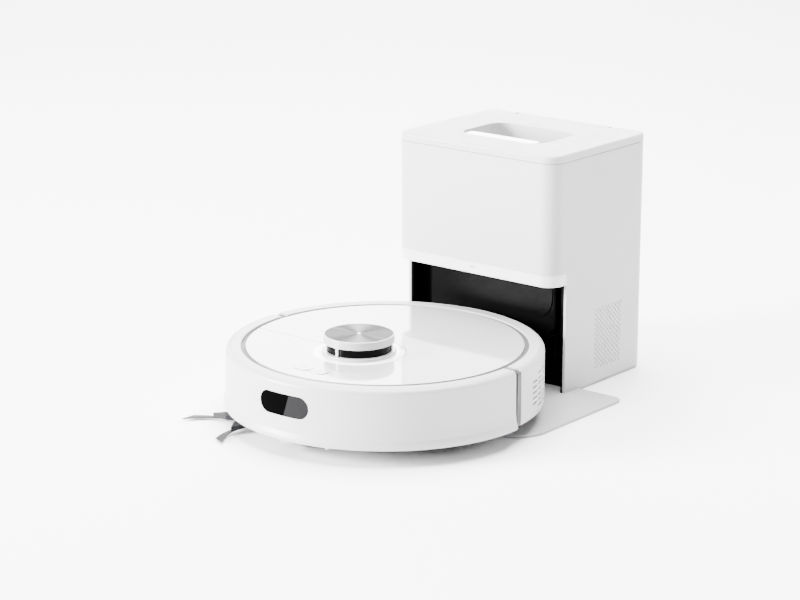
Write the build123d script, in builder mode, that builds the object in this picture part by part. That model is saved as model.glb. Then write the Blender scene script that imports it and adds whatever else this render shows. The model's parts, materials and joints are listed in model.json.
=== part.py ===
from build123d import *
import os
from math import cos, radians, sin, sqrt

os.makedirs("parts", exist_ok=True)

# A robot vacuum parked in its self-emptying dock. Millimetres. The floor is z = 0, the dock's
# front face is y = 0, and the robot faces -Y with its tail in the dock's bay.

# ---- Dock: driving dimensions ----
dock_width = 223.6
dock_depth = 183.0
dock_height = 275.6
dock_corner = 18.5
dock_wall = 3.0
lid_height = 8.7
lid_seam = 0.3
bay_height = 128.2
chin_height = 13.1
bay_depth = 44.0
bay_side_front = 25.5
liner_wall = 2.6
plate_thickness = 3.0
plate_width = 344.0
plate_reach = 133.5
plate_back = 53.6
plate_front_corner = 40.0
plate_back_corner = 10.0

# ---- Robot: driving dimensions ----
robot_radius = 175.5
tail_reach = 19.8
rim_height = 82.3
wall_radius = robot_radius - 3.2
robot_y = tail_reach - wall_radius
rim_edge_radius = wall_radius - 4.3
skin = 2.4
rim_inner_radius = rim_edge_radius - 12.3
top_radius = rim_inner_radius - 5.4
top_height = 82.0
deck_thickness = 3.2
chassis_radius = wall_radius - 8.3
chassis_floor = 10.0
chassis_skin = 3.0
frame_top = 80.0
frame_plate = 2.0
strip_start = 92.0
strip_end = 95.4
bumper_travel = 3.0
turret_y = robot_y - 43.5
turret_height = 102.8
turret_radius = 38.0
collar_radius = turret_radius + 11.6
wheel_radius = 35.0
wheel_width = 22.0
wheel_x = 118.0
wheel_y = robot_y + 2.0

# ---- Clearances ----
running = 0.05
sliding = 0.3
part_gap = 0.4
shadow_gap = 0.6

# ---- Frames that the pieces are placed from ----
dock_centre = dock_depth / 2
robot_axis = Axis((0, robot_y, 0), (0, 0, 1))


def level(height, x=0.0, y=0.0):
    """A horizontal sketch plane at a height, centred on a point."""
    return Plane(origin=(x, y, height), x_dir=(1, 0, 0), z_dir=(0, 0, 1))


def upright(x=0.0, y=0.0, z=0.0):
    """A sketch plane facing the front, -Y, whose second axis is +Z."""
    return Plane(origin=(x, y, z), x_dir=(1, 0, 0), z_dir=(0, -1, 0))


def sideways(x=0.0, y=0.0, z=0.0):
    """A sketch plane facing +X, whose first axis is +Y and second axis +Z."""
    return Plane(origin=(x, y, z), x_dir=(0, 1, 0), z_dir=(1, 0, 0))


def radial(angle, y=robot_y):
    """A plane through a vertical axis at y, turned by an angle in degrees from +X."""
    turn = radians(angle)
    return Plane(origin=(0, y, 0), x_dir=(cos(turn), sin(turn), 0), z_dir=(sin(turn), -cos(turn), 0))


def wall_y(x, radius):
    """The y of a circle of the given radius about the robot's axis, at its back, at x."""
    return robot_y + sqrt(radius**2 - x**2)


def write(piece, label):
    """Label a finished piece and write its STEP file."""
    piece.part.label = label
    export_step(piece.part, f"parts/{label}.step")


# =====================================================================================
# Dock
# =====================================================================================

# ---- Base plate, with pockets for its pads and slots that leave the wheels room to drop ----
pad_size = 14.0
pad_depth = 1.2
wheel_slot_width = wheel_width + 14.0
wheel_slot_length = 34.0
plate_length = plate_reach + plate_back
plate_middle = (plate_back - plate_reach) / 2
tail_width = dock_width - 2 * shadow_gap
tail_end = dock_depth - shadow_gap
tail_start = plate_back - 2 * plate_back_corner
pad_places = [(-150, -100), (150, -100), (-150, 30), (150, 30), (-85, 160), (85, 160)]
screw_radius = 1.5
screw_head_radius = 2.9
screw_head_height = 1.8
dock_screw_places = [(-60, 20), (60, 20), (-90, 130), (90, 130)]

with BuildPart() as base_plate:
    with BuildSketch(level(0, 0, plate_middle)) as plate_outline:
        Rectangle(plate_width, plate_length)
        fillet(plate_outline.vertices().group_by(Axis.Y)[0], plate_front_corner)
        fillet(plate_outline.vertices().group_by(Axis.Y)[-1], plate_back_corner)
    extrude(amount=plate_thickness)
    with BuildSketch(level(0, 0, (tail_start + tail_end) / 2)) as tail_outline:
        Rectangle(tail_width, tail_end - tail_start)
        fillet(tail_outline.vertices().group_by(Axis.Y)[-1], dock_corner)
    extrude(amount=plate_thickness)
    top_edges = base_plate.faces().sort_by(Axis.Z)[-1].outer_wire().edges()
    chamfer(top_edges.filter_by(lambda edge: edge.center().Y < plate_back - 1), 1.0)
    with BuildSketch(level(0, 0, wheel_slot_length / 2 - plate_reach)):
        with GridLocations(2 * wheel_x, 0, 2, 1):
            Rectangle(wheel_slot_width, wheel_slot_length + 2 * plate_thickness)
    extrude(amount=plate_thickness, mode=Mode.SUBTRACT)
    with BuildSketch(level(0)):
        with Locations(*pad_places):
            Circle(pad_size / 2)
    extrude(amount=pad_depth, mode=Mode.SUBTRACT)
    with Locations(*[Location((x, y, 0), (180, 0, 0)) for x, y in dock_screw_places]):
        CounterBoreHole(
            screw_radius + running, screw_head_radius + sliding, screw_head_height, plate_thickness
        )
write(base_plate, "base_plate")

with BuildPart() as base_pads:
    with BuildSketch(level(0)):
        with Locations(*pad_places):
            Circle(pad_size / 2)
    extrude(amount=pad_depth)
write(base_pads, "base_pads")

with BuildPart() as dock_screws:
    with BuildSketch(level(0.2)):
        with Locations(*dock_screw_places):
            Circle(screw_head_radius)
    extrude(amount=screw_head_height - 0.2)
    with BuildSketch(level(screw_head_height)):
        with Locations(*dock_screw_places):
            Circle(screw_radius)
    extrude(amount=plate_thickness - screw_head_height)
    with BuildSketch(level(0.2)):
        with Locations(*dock_screw_places):
            Rectangle(3.4, 0.8)
            Rectangle(0.8, 3.4)
    extrude(amount=0.9, mode=Mode.SUBTRACT)
write(dock_screws, "dock_screws")

# ---- Tower shell: one moulding, open below for the bay and on top for the bag ----
seam_height = dock_height - lid_height - lid_seam
inner_width = dock_width - 2 * dock_wall
inner_depth = dock_depth - 2 * dock_wall
inner_corner = dock_corner - dock_wall
chin_top = bay_height + chin_height
grille_low = 13.0
grille_high = 94.0
grille_front = 77.5
grille_back = 137.5
grille_y = (grille_front + grille_back) / 2
grille_z = (grille_low + grille_high) / 2
grille_length = grille_back - grille_front
grille_height = grille_high - grille_low
grille_corner = 8.0
inlet_x = 62.0
inlet_z = 34.0
inlet_width = 28.0
inlet_height = 20.0
hinge_radius = 4.25
hinge_y = dock_depth - hinge_radius
hinge_z = seam_height + lid_seam + hinge_radius
hinge_x = 66.0
knuckle_width = 9.0
pin_radius = 1.5
hinge_ear_radius = 3.6
ear_drop = 4.0


with BuildPart() as tower_shell:
    with BuildSketch(level(plate_thickness, 0, dock_centre)):
        RectangleRounded(dock_width, dock_depth, dock_corner)
    extrude(amount=seam_height - plate_thickness)
    with BuildSketch(level(plate_thickness, 0, dock_centre)):
        RectangleRounded(inner_width, inner_depth, inner_corner)
    extrude(amount=seam_height, mode=Mode.SUBTRACT)
    with BuildSketch(level(plate_thickness, 0, 0)):
        Rectangle(2 * dock_width, 2 * bay_side_front)
    extrude(amount=chin_top - plate_thickness, mode=Mode.SUBTRACT)
    with BuildSketch(sideways(0, grille_y, grille_z)):
        RectangleRounded(grille_length, grille_height, grille_corner)
    extrude(amount=dock_width, both=True, mode=Mode.SUBTRACT)
    with BuildSketch(upright(inlet_x, dock_depth + 1, inlet_z)):
        RectangleRounded(inlet_width, inlet_height, 2)
    extrude(amount=dock_wall + 2, mode=Mode.SUBTRACT)
    for side in (-1, 1):
        with BuildSketch(sideways(side * hinge_x - knuckle_width / 2, hinge_y, hinge_z)):
            Circle(hinge_ear_radius)
            with Locations((0, -hinge_radius - ear_drop / 2)):
                Rectangle(2 * hinge_ear_radius, 2 * hinge_radius + ear_drop)
            Circle(pin_radius + running, mode=Mode.SUBTRACT)
        extrude(amount=knuckle_width)
write(tower_shell, "tower_shell")

# ---- Side grilles: a staggered field of round holes in a plate flush with each side ----
hole_radius = 1.05
hole_pitch_y = 6.0
hole_pitch_z = 5.7

with BuildPart() as side_grilles:
    for side in (-1, 1):
        with BuildSketch(sideways(side * (dock_width - dock_wall) / 2, grille_y, grille_z)):
            RectangleRounded(grille_length, grille_height, grille_corner)
            with GridLocations(hole_pitch_y, hole_pitch_z, 9, 13):
                Circle(hole_radius, mode=Mode.SUBTRACT)
            with GridLocations(hole_pitch_y, hole_pitch_z, 8, 12):
                Circle(hole_radius, mode=Mode.SUBTRACT)
        extrude(amount=dock_wall / 2, both=True)
write(side_grilles, "side_grilles")

# ---- Chin: the bright strip under the front, with the status slot ----
lens_width = 8.5
lens_height = 2.2
lens_z = 136.0

with BuildPart() as front_chin:
    with BuildSketch(level(bay_height, 0, dock_centre)):
        RectangleRounded(dock_width, dock_depth, dock_corner)
        offset(amount=-dock_wall, mode=Mode.SUBTRACT)
    extrude(amount=chin_height)
    with BuildSketch(level(bay_height, 0, bay_side_front + dock_depth)):
        Rectangle(2 * dock_width, 2 * dock_depth)
    extrude(amount=chin_height, mode=Mode.SUBTRACT)
    chamfer(front_chin.edges().group_by(Axis.Z)[0].filter_by(GeomType.LINE).sort_by(Axis.Y)[0], 0.8)
    with BuildSketch(upright(0, -1, lens_z)):
        SlotOverall(lens_width, lens_height)
    extrude(amount=-dock_wall - 2, mode=Mode.SUBTRACT)
write(front_chin, "front_chin")

with BuildPart() as status_lens:
    with BuildSketch(upright(0, 0.4, lens_z)):
        SlotOverall(lens_width, lens_height)
    extrude(amount=-dock_wall)
write(status_lens, "status_lens")

# ---- Bay liner: black walls, roof and back, with a raised lower panel ----
liner_half = dock_width / 2 - dock_wall - sliding
liner_front = dock_wall + sliding
panel_width = 179.0
panel_bottom = 12.0
panel_top = 63.6
panel_relief = 5.0
panel_corner = 20.0
panel_edge = 2.0
port_z = 58.0
port_width = 52.0
port_height = 14.0
charge_x = 42.0
charge_z = 30.0
pin_barrel = 3.0
liner_back = bay_depth + liner_wall
liner_roof = bay_height + liner_wall

with BuildPart() as bay_liner:
    with BuildSketch(level(plate_thickness, 0, (bay_side_front + liner_back) / 2)):
        Rectangle(2 * liner_half, liner_back - bay_side_front)
    extrude(amount=liner_roof - plate_thickness)
    with BuildSketch(level(bay_height, 0, (liner_front + bay_side_front) / 2)):
        Rectangle(2 * (liner_half - inner_corner), bay_side_front - liner_front)
    extrude(amount=liner_wall)
    with BuildSketch(level(plate_thickness, 0, bay_depth / 2)):
        Rectangle(2 * (liner_half - liner_wall), bay_depth)
    extrude(amount=bay_height - plate_thickness, mode=Mode.SUBTRACT)
    with BuildSketch(upright(0, bay_depth, (panel_bottom + panel_top) / 2)) as panel_outline:
        Rectangle(panel_width, panel_top - panel_bottom)
        fillet(panel_outline.vertices().group_by(Axis.Y)[0], panel_corner)
    extrude(amount=panel_relief)
    panel_face = bay_liner.faces().filter_by(Axis.Y)
    panel_front = panel_face.filter_by(lambda face: abs(face.center().Y - bay_depth + panel_relief) < 0.01)
    fillet(panel_front.edges(), panel_edge)
    with BuildSketch(upright(0, -1, port_z)):
        SlotOverall(port_width, port_height)
    extrude(amount=-dock_depth / 2, mode=Mode.SUBTRACT)
    with BuildSketch(upright(0, -1, charge_z)):
        with GridLocations(2 * charge_x, 0, 2, 1):
            Circle(pin_barrel + running)
    extrude(amount=-dock_depth / 2, mode=Mode.SUBTRACT)
write(bay_liner, "bay_liner")

# ---- Bay hood: a rounded canopy over the robot's tail, on a slightly wider band ----
hood_width = 170.0
hood_bottom = 81.0
hood_reach = 8.0
hood_corner = 24.0
hood_edge = 3.0
band_bottom = 64.0
band_reach = 6.6
band_corner = 12.0
hood_wall = 2.4
seal_wall = 5.0
seal_width = port_width + 2 * seal_wall
seal_height = port_height + 2 * seal_wall

with BuildPart() as bay_hood:
    with BuildSketch(upright(0, bay_depth, (band_bottom + bay_height) / 2)) as band_outline:
        Rectangle(panel_width, bay_height - band_bottom)
        fillet(band_outline.vertices().group_by(Axis.Y)[0], band_corner)
    extrude(amount=band_reach)
    band_front = bay_hood.faces().sort_by(Axis.Y)[0]
    fillet(band_front.edges().filter_by(lambda edge: edge.center().Z < bay_height - 1), hood_edge)
    with BuildSketch(upright(0, bay_depth, (hood_bottom + bay_height) / 2)) as hood_outline:
        Rectangle(hood_width, bay_height - hood_bottom)
        fillet(hood_outline.vertices().group_by(Axis.Y)[0], hood_corner)
    extrude(amount=hood_reach)
    with BuildSketch(upright(0, bay_depth, (band_bottom + bay_height) / 2)) as hood_inside:
        Rectangle(panel_width - 4 * hood_wall, bay_height - band_bottom - 2 * hood_wall)
        fillet(hood_inside.vertices().group_by(Axis.Y)[0], band_corner - hood_wall)
    extrude(amount=band_reach - hood_wall, mode=Mode.SUBTRACT)
    with BuildSketch(upright(0, bay_depth, port_z)):
        SlotOverall(seal_width + 2 * part_gap, seal_height + 2 * part_gap)
    extrude(amount=bay_depth, mode=Mode.SUBTRACT)
write(bay_hood, "bay_hood")

# ---- Dust path: rubber seal, duct, bag bin and bag ----
duct_wall = 1.8
duct_depth = 19.0
bin_floor = liner_roof + 2.0
bin_wall = 2.0
bin_gap = 0.5

with BuildPart() as dust_seal:
    with BuildSketch(upright(0, bay_depth - panel_relief, port_z)):
        SlotOverall(seal_width, seal_height)
        SlotOverall(port_width, port_height, mode=Mode.SUBTRACT)
    extrude(amount=2 * bay_depth)
    with BuildSketch(level(0, 0, robot_y)):
        Circle(wall_radius + part_gap)
    extrude(amount=dock_height, mode=Mode.SUBTRACT)
write(dust_seal, "dust_seal")

duct_y = liner_back + duct_depth / 2
duct_width = port_width + 8.0
duct_corner = 4.0
duct_bottom = port_z - port_height / 2 - 4.0

with BuildPart() as dust_duct:
    with BuildSketch(level(duct_bottom, 0, duct_y)):
        RectangleRounded(duct_width, duct_depth, duct_corner)
    extrude(amount=bin_floor - duct_bottom)
    with BuildSketch(level(duct_bottom + duct_wall, 0, duct_y)):
        RectangleRounded(duct_width - 2 * duct_wall, duct_depth - 2 * duct_wall, duct_corner - duct_wall)
    extrude(amount=dock_height, mode=Mode.SUBTRACT)
    with BuildSketch(upright(0, liner_back - 1, port_z)):
        SlotOverall(port_width, port_height)
    extrude(amount=-duct_depth / 2, mode=Mode.SUBTRACT)
write(dust_duct, "dust_duct")

bin_top = seam_height - 8.7
filter_y = 128.0
filter_width = 90.0
filter_length = 60.0

with BuildPart() as bag_bin:
    with BuildSketch(level(bin_floor, 0, dock_centre)):
        RectangleRounded(inner_width - 2 * bin_gap, inner_depth - 2 * bin_gap, inner_corner - bin_gap)
    extrude(amount=bin_top - bin_floor)
    with BuildSketch(level(bin_floor + bin_wall, 0, dock_centre)):
        RectangleRounded(
            inner_width - 2 * bin_gap - 2 * bin_wall,
            inner_depth - 2 * bin_gap - 2 * bin_wall,
            inner_corner - bin_gap - bin_wall,
        )
    extrude(amount=dock_height, mode=Mode.SUBTRACT)
    with BuildSketch(level(bin_floor - 1)):
        with Locations((0, duct_y)):
            Rectangle(port_width, duct_depth - 2 * duct_wall)
        with Locations((0, filter_y)):
            Rectangle(filter_width - 10, filter_length - 10)
    extrude(amount=bin_wall + 2, mode=Mode.SUBTRACT)
write(bag_bin, "bag_bin")

bag_bottom = bin_floor + bin_wall
bag_height = 92.0
bag_y = 84.0

with BuildPart() as dust_bag:
    with BuildSketch(level(bag_bottom, 0, bag_y)):
        RectangleRounded(136, 110, 24)
    with BuildSketch(level(bag_bottom + bag_height / 2, 0, bag_y)):
        RectangleRounded(176, 144, 40)
    with BuildSketch(level(bag_bottom + bag_height, 0, bag_y)):
        RectangleRounded(128, 96, 30)
    loft()
    fillet(dust_bag.faces().sort_by(Axis.Z)[-1].edges(), 8)
write(dust_bag, "dust_bag")

# ---- Exhaust filter: a frame of pleats under the bag bin ----
filter_height = 12.0
pleat_pitch = 6.0
pleat_count = 13
pleat_start = -pleat_count * pleat_pitch / 2
pleat_swing = 4.5
pleat_paper = 1.4
filter_frame = 4.0

with BuildPart() as exhaust_filter:
    with BuildSketch(level(bin_floor - filter_height, 0, filter_y)):
        RectangleRounded(filter_width, filter_length, 4)
        RectangleRounded(
            filter_width - 2 * filter_frame, filter_length - 2 * filter_frame, 2, mode=Mode.SUBTRACT
        )
    extrude(amount=filter_height)
    with BuildSketch(upright(0, filter_y - filter_length / 2 + 3.5, bin_floor - filter_height / 2)):
        with BuildLine():
            ridge = []
            for index in range(2 * pleat_count + 1):
                swing = pleat_swing if index % 2 else -pleat_swing
                ridge.append((pleat_start + index * pleat_pitch / 2, swing))
            back_ridge = [(x, z - pleat_paper) for x, z in reversed(ridge)]
            Polyline(*ridge, *back_ridge, close=True)
        make_face()
    extrude(amount=-(filter_length - 7))
    with BuildSketch(level(bin_floor - filter_height, 0, filter_y)):
        with GridLocations(filter_width - 9.5, 0, 2, 1):
            Rectangle(3.5, filter_length - 6)
    extrude(amount=filter_height)
write(exhaust_filter, "exhaust_filter")

# ---- Suction motor and impeller, standing on the base plate's tail ----
motor_radius = 40.0
motor_y = liner_back + duct_depth + motor_radius + 11.4
motor_top = 62.0
motor_shaft = 4.0
impeller_radius = 38.0
impeller_bottom = motor_top + 2.0
impeller_height = 14.0

with BuildPart() as dock_motor:
    with BuildSketch(level(plate_thickness, 0, motor_y)):
        Circle(motor_radius + 8)
    extrude(amount=4)
    with BuildSketch(level(plate_thickness, 0, motor_y)):
        Circle(motor_radius)
    extrude(amount=motor_top - plate_thickness)
    fillet(dock_motor.faces().sort_by(Axis.Z)[-1].edges(), 5)
    with BuildSketch(level(motor_top - 1, 0, motor_y)):
        Circle(motor_shaft)
    extrude(amount=impeller_height + 5)
    with BuildSketch(level(motor_top - 22, 0, motor_y)):
        with PolarLocations(motor_radius, 12):
            Rectangle(6, 5)
    extrude(amount=14, mode=Mode.SUBTRACT)
write(dock_motor, "dock_motor")


def impeller(name_y, name_x, bottom, radius, height, shaft, blades):
    """A backing disc with a hub and curved radial blades, bored for its shaft."""
    with BuildPart() as wheel:
        with BuildSketch(level(bottom, name_x, name_y)):
            Circle(radius)
        extrude(amount=1.6)
        with BuildSketch(level(bottom, name_x, name_y)):
            Circle(shaft + 4)
        extrude(amount=height)
        with BuildSketch(level(bottom, name_x, name_y)) as vanes:
            with PolarLocations(0, blades):
                with BuildLine():
                    inner = ThreePointArc(
                        (shaft + 3, 0), (radius * 0.55, radius * 0.12), (radius * 0.95, radius * 0.42)
                    )
                    outer = ThreePointArc(
                        (radius * 0.91, radius * 0.45), (radius * 0.52, radius * 0.17), (shaft + 3, 1.4)
                    )
                    Line(inner @ 1, outer @ 0)
                    Line(outer @ 1, inner @ 0)
                make_face()
        extrude(amount=height - 2)
        with BuildSketch(level(bottom - 1, name_x, name_y)):
            Circle(shaft + running)
        extrude(amount=height + 2, mode=Mode.SUBTRACT)
    return wheel


dock_impeller = impeller(motor_y, 0, impeller_bottom, impeller_radius, impeller_height, motor_shaft, 9)
write(dock_impeller, "dock_impeller")

# ---- Power inlet: a recessed two-pin socket in the back wall ----
inlet_depth = 22.0
socket_depth = 15.0

with BuildPart() as power_inlet:
    with BuildSketch(upright(inlet_x, dock_depth, inlet_z)):
        RectangleRounded(inlet_width, inlet_height, 2)
    extrude(amount=inlet_depth)
    with BuildSketch(upright(inlet_x, dock_depth - dock_wall, inlet_z)):
        RectangleRounded(inlet_width + 8, inlet_height + 6, 3)
    extrude(amount=2.5)
    with BuildSketch(upright(inlet_x, dock_depth, inlet_z)):
        SlotOverall(inlet_width - 6, inlet_height - 8)
    extrude(amount=socket_depth, mode=Mode.SUBTRACT)
    with BuildSketch(upright(inlet_x, dock_depth - socket_depth, inlet_z)):
        with GridLocations(8.6, 0, 2, 1):
            Circle(1.2)
    extrude(amount=-9)
write(power_inlet, "power_inlet")

# ---- Charging pins: two sprung plungers through the lower panel ----
plate_clear = 0.3
pin_collar = 5.0
pin_back = liner_back + 6.0
pin_dome = 1.2


def charge_pin(x):
    """A plunger along Y: a domed tip, a barrel and the collar that holds it behind the liner."""
    tip = wall_y(abs(x) - pin_barrel, wall_radius) + plate_clear
    with BuildPart() as pin:
        with BuildSketch(upright(x, pin_back, charge_z)):
            Circle(pin_barrel)
        extrude(amount=pin_back - tip)
        fillet(pin.faces().sort_by(Axis.Y)[0].edges(), pin_dome)
        with BuildSketch(upright(x, liner_back + 2.4, charge_z)):
            Circle(pin_collar)
        extrude(amount=2.0)
    return pin


write(charge_pin(-charge_x), "charge_pin_left")
write(charge_pin(charge_x), "charge_pin_right")

# ---- Dock lid with its grip pocket, carry bar and hinge pins ----
lid_bottom = seam_height + lid_seam
lid_skin = 3.0
pocket_width = 114.0
pocket_front = 44.0
pocket_back = 124.0
pocket_depth = 22.0
pocket_corner = 19.0
pocket_wall = 2.2
pocket_y = (pocket_front + pocket_back) / 2
pocket_length = pocket_back - pocket_front
lip_drop = 6.0
lip_wall = 2.0
knuckle_gap = 0.4
notch_depth = 11.5

with BuildPart() as dock_lid:
    with BuildSketch(level(lid_bottom, 0, dock_centre)):
        RectangleRounded(dock_width, dock_depth, dock_corner)
    extrude(amount=lid_height)
    fillet(dock_lid.faces().sort_by(Axis.Z)[-1].edges(), 2.6)
    with BuildSketch(level(lid_bottom, 0, dock_centre - hinge_radius)):
        RectangleRounded(inner_width, inner_depth - 2 * hinge_radius, inner_corner - hinge_radius)
    extrude(amount=lid_height - lid_skin, mode=Mode.SUBTRACT)
    with BuildSketch(level(lid_bottom - lip_drop, 0, dock_centre - hinge_radius)):
        RectangleRounded(
            inner_width - 2 * shadow_gap,
            inner_depth - 2 * shadow_gap - 2 * hinge_radius,
            inner_corner - shadow_gap,
        )
        offset(amount=-lip_wall, mode=Mode.SUBTRACT)
    extrude(amount=lip_drop + lid_height - lid_skin)
    with BuildSketch(level(dock_height - pocket_depth - pocket_wall, 0, pocket_y)):
        RectangleRounded(
            pocket_width + 2 * pocket_wall, pocket_length + 2 * pocket_wall, pocket_corner + pocket_wall
        )
    extrude(amount=pocket_depth + pocket_wall - 1)
    with BuildSketch(level(dock_height - pocket_depth, 0, pocket_y)):
        RectangleRounded(pocket_width, pocket_length, pocket_corner)
    extrude(amount=pocket_depth + 1, mode=Mode.SUBTRACT)
    pocket_rim = dock_lid.faces().filter_by(Axis.Z).sort_by(Axis.Z)[-1].inner_wires().edges()
    fillet(pocket_rim, 0.9)
    with BuildSketch(sideways(-dock_width, hinge_y, hinge_z)):
        with Locations((hinge_radius, 0)):
            Rectangle(2 * hinge_radius, 4 * hinge_radius)
        Circle(hinge_radius, mode=Mode.SUBTRACT)
    extrude(amount=2 * dock_width, mode=Mode.SUBTRACT)
    with BuildSketch(level(lid_bottom - 1, 0, dock_depth - notch_depth / 2 + 0.5)):
        with GridLocations(2 * hinge_x, 0, 2, 1):
            Rectangle(knuckle_width + 2 * knuckle_gap, notch_depth + 1)
    extrude(amount=lid_height + 2, mode=Mode.SUBTRACT)
    with BuildSketch(sideways(-dock_width, hinge_y, hinge_z)):
        Circle(pin_radius)
    extrude(amount=2 * dock_width, mode=Mode.SUBTRACT)
write(dock_lid, "dock_lid")

bar_front = pocket_front + 0.8
bar_width = 100.0
bar_depth = 17.5
bar_corner = 8.0
bar_height = 8.8
lug_depth = 7.0
bar_bottom = dock_height - bar_height - 0.2

with BuildPart() as carry_bar:
    with BuildSketch(level(bar_bottom, 0, bar_front + bar_depth / 2)):
        RectangleRounded(bar_width, bar_depth, bar_corner)
    extrude(amount=bar_height)
    fillet(carry_bar.faces().sort_by(Axis.Z)[-1].edges(), 2.6)
    fillet(carry_bar.faces().sort_by(Axis.Z)[0].edges(), 1.6)
    with BuildSketch(level(bar_bottom + 2.0, 0, pocket_y)):
        RectangleRounded(pocket_width, pocket_length, pocket_corner)
        with Locations((0, bar_front + bar_depth - bar_corner - pocket_y)):
            Rectangle(pocket_width, lug_depth, mode=Mode.INTERSECT)
    extrude(amount=4.0)
write(carry_bar, "carry_bar")

hinge_pin_length = 26.0

with BuildPart() as lid_hinge_pins:
    for side in (-1, 1):
        with BuildSketch(sideways(side * hinge_x - hinge_pin_length / 2, hinge_y, hinge_z)):
            Circle(pin_radius)
        extrude(amount=hinge_pin_length)
write(lid_hinge_pins, "lid_hinge_pins")

# =====================================================================================
# Robot
# =====================================================================================

wall_inner = wall_radius - skin
rim_thickness = 2.0
rim_seam = 0.7
rim_low = rim_height - rim_thickness
lip_height = 37.0
skirt_height = 17.5
skirt_height_back = 19.5
front_angle = 270.0


def ring(inner, outer, bottom, y=robot_y):
    """A flat ring about a vertical axis, as a face to extrude."""
    with BuildSketch(level(bottom, 0, y)) as face:
        Circle(outer)
        Circle(inner, mode=Mode.SUBTRACT)
    return face.sketch


# ---- Chassis: a tray with wells for the wheels, the brushes and the caster ----
chassis_wall = 2.5
chassis_top = frame_top - 5.5
slope_start = chassis_radius - 14.0
slope_top = 17.5
well_inner = 93.0
well_outer = 133.0
well_front = wheel_y - 62.0
well_back = wheel_y + 40.0
well_top = 72.6
well_wall = 1.8
brush_y = robot_y - 24.0
brush_z = 24.2
brush_radius = 20.3
brush_length = 170.0
brush_well_depth = 50.0
brush_well_top = 45.0
brush_axle = 2.5
caster_y = robot_y - 138.5
caster_clear = 21.5
caster_roof = 30.0
caster_stem = 4.0
caster_boss = 12.0
sweeper_x = -92.0
sweeper_y = robot_y - 110.0
sweeper_shaft = 2.5
pivot_y = wheel_y - 45.0
pivot_z = 40.0
pivot_radius = 3.0
arm_thickness = 8.0
arm_inner = wheel_x - wheel_width / 2 - 2.0 - arm_thickness
robot_screw_places = [
    Location((x, y, chassis_floor), (180, 0, 0))
    for x, y in [(-45, -300), (45, -300), (100, -262), (-62, -215), (62, -215), (-70, -92), (70, -92)]
]
mop_start = robot_y + 78.0

with BuildPart() as chassis:
    with BuildSketch(radial(0)):
        with BuildLine():
            Polyline(
                (0, chassis_floor),
                (slope_start, chassis_floor),
                (chassis_radius, slope_top),
                (chassis_radius, chassis_top),
                (chassis_radius - chassis_wall, chassis_top),
                (chassis_radius - chassis_wall, slope_top + chassis_skin),
                (slope_start, chassis_floor + chassis_skin),
                (0, chassis_floor + chassis_skin),
                close=True,
            )
        make_face()
    revolve(axis=robot_axis)
    for side in (-1, 1):
        well_x = side * (well_inner + well_outer) / 2
        well_middle = (well_front + well_back) / 2
        with BuildSketch(level(chassis_floor, well_x, well_middle)):
            Rectangle(well_outer - well_inner + 2 * well_wall, well_back - well_front + 2 * well_wall)
        extrude(amount=well_top + well_wall - chassis_floor)
        with BuildSketch(level(0, well_x, well_middle)):
            Rectangle(well_outer - well_inner, well_back - well_front)
        extrude(amount=well_top, mode=Mode.SUBTRACT)
        with BuildSketch(sideways(side * (well_inner + well_outer) / 2, pivot_y, pivot_z)):
            Circle(pivot_radius)
        extrude(amount=(well_outer - well_inner) / 2 + 1, both=True)
    with BuildSketch(level(chassis_floor, 0, brush_y)):
        Rectangle(brush_length + 6, brush_well_depth + 4)
    extrude(amount=brush_well_top + 2 - chassis_floor)
    with BuildSketch(level(0, 0, brush_y)):
        Rectangle(brush_length + 2, brush_well_depth)
    extrude(amount=brush_well_top, mode=Mode.SUBTRACT)
    with BuildSketch(sideways(-brush_length / 2 - 4, brush_y, brush_z)):
        Circle(brush_axle + running)
    extrude(amount=brush_length + 8, mode=Mode.SUBTRACT)
    with BuildSketch(upright(0, brush_y + brush_well_depth / 2 - 1, 34)):
        RectangleRounded(110, 12, 3)
    extrude(amount=-6, mode=Mode.SUBTRACT)
    with BuildSketch(level(chassis_floor, 0, caster_y)):
        Circle(caster_clear + 2)
    extrude(amount=caster_roof + 2 - chassis_floor)
    with BuildSketch(level(caster_roof, 0, caster_y)):
        Circle(caster_stem + 3)
    extrude(amount=caster_boss)
    with BuildSketch(level(0, 0, caster_y)):
        Circle(caster_clear)
    extrude(amount=caster_roof, mode=Mode.SUBTRACT)
    with BuildSketch(level(0, 0, caster_y)):
        Circle(caster_stem + running)
    extrude(amount=caster_roof + caster_boss, mode=Mode.SUBTRACT)
    with BuildSketch(level(chassis_floor, sweeper_x, sweeper_y)):
        Circle(12)
    extrude(amount=24)
    with BuildSketch(level(0, sweeper_x, sweeper_y)):
        Circle(sweeper_shaft + running)
    extrude(amount=28, mode=Mode.SUBTRACT)
    with Locations(*robot_screw_places):
        CounterBoreHole(screw_radius + running, screw_head_radius + sliding, screw_head_height, chassis_skin)
write(chassis, "chassis")

# ---- Top frame: the ring that shows as a grey groove, over a plate with openings ----
frame_bottom = chassis_top
ledge_radius = top_radius - 6.3
ledge_top = top_height - deck_thickness
groove_radius = top_radius + sliding
bin_x = 160.0
bin_length = 96.0
bin_start = robot_y + 32.0
bin_middle = bin_start + bin_length / 2
robot_bin_top = 76.0
seam_y = turret_y - 0.5
flip_axis_y = seam_y + deck_thickness / 2 + sliding
flip_axis_z = top_height - deck_thickness / 2
flip_pin_radius = 0.9
flip_ear_x = 140.0

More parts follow.
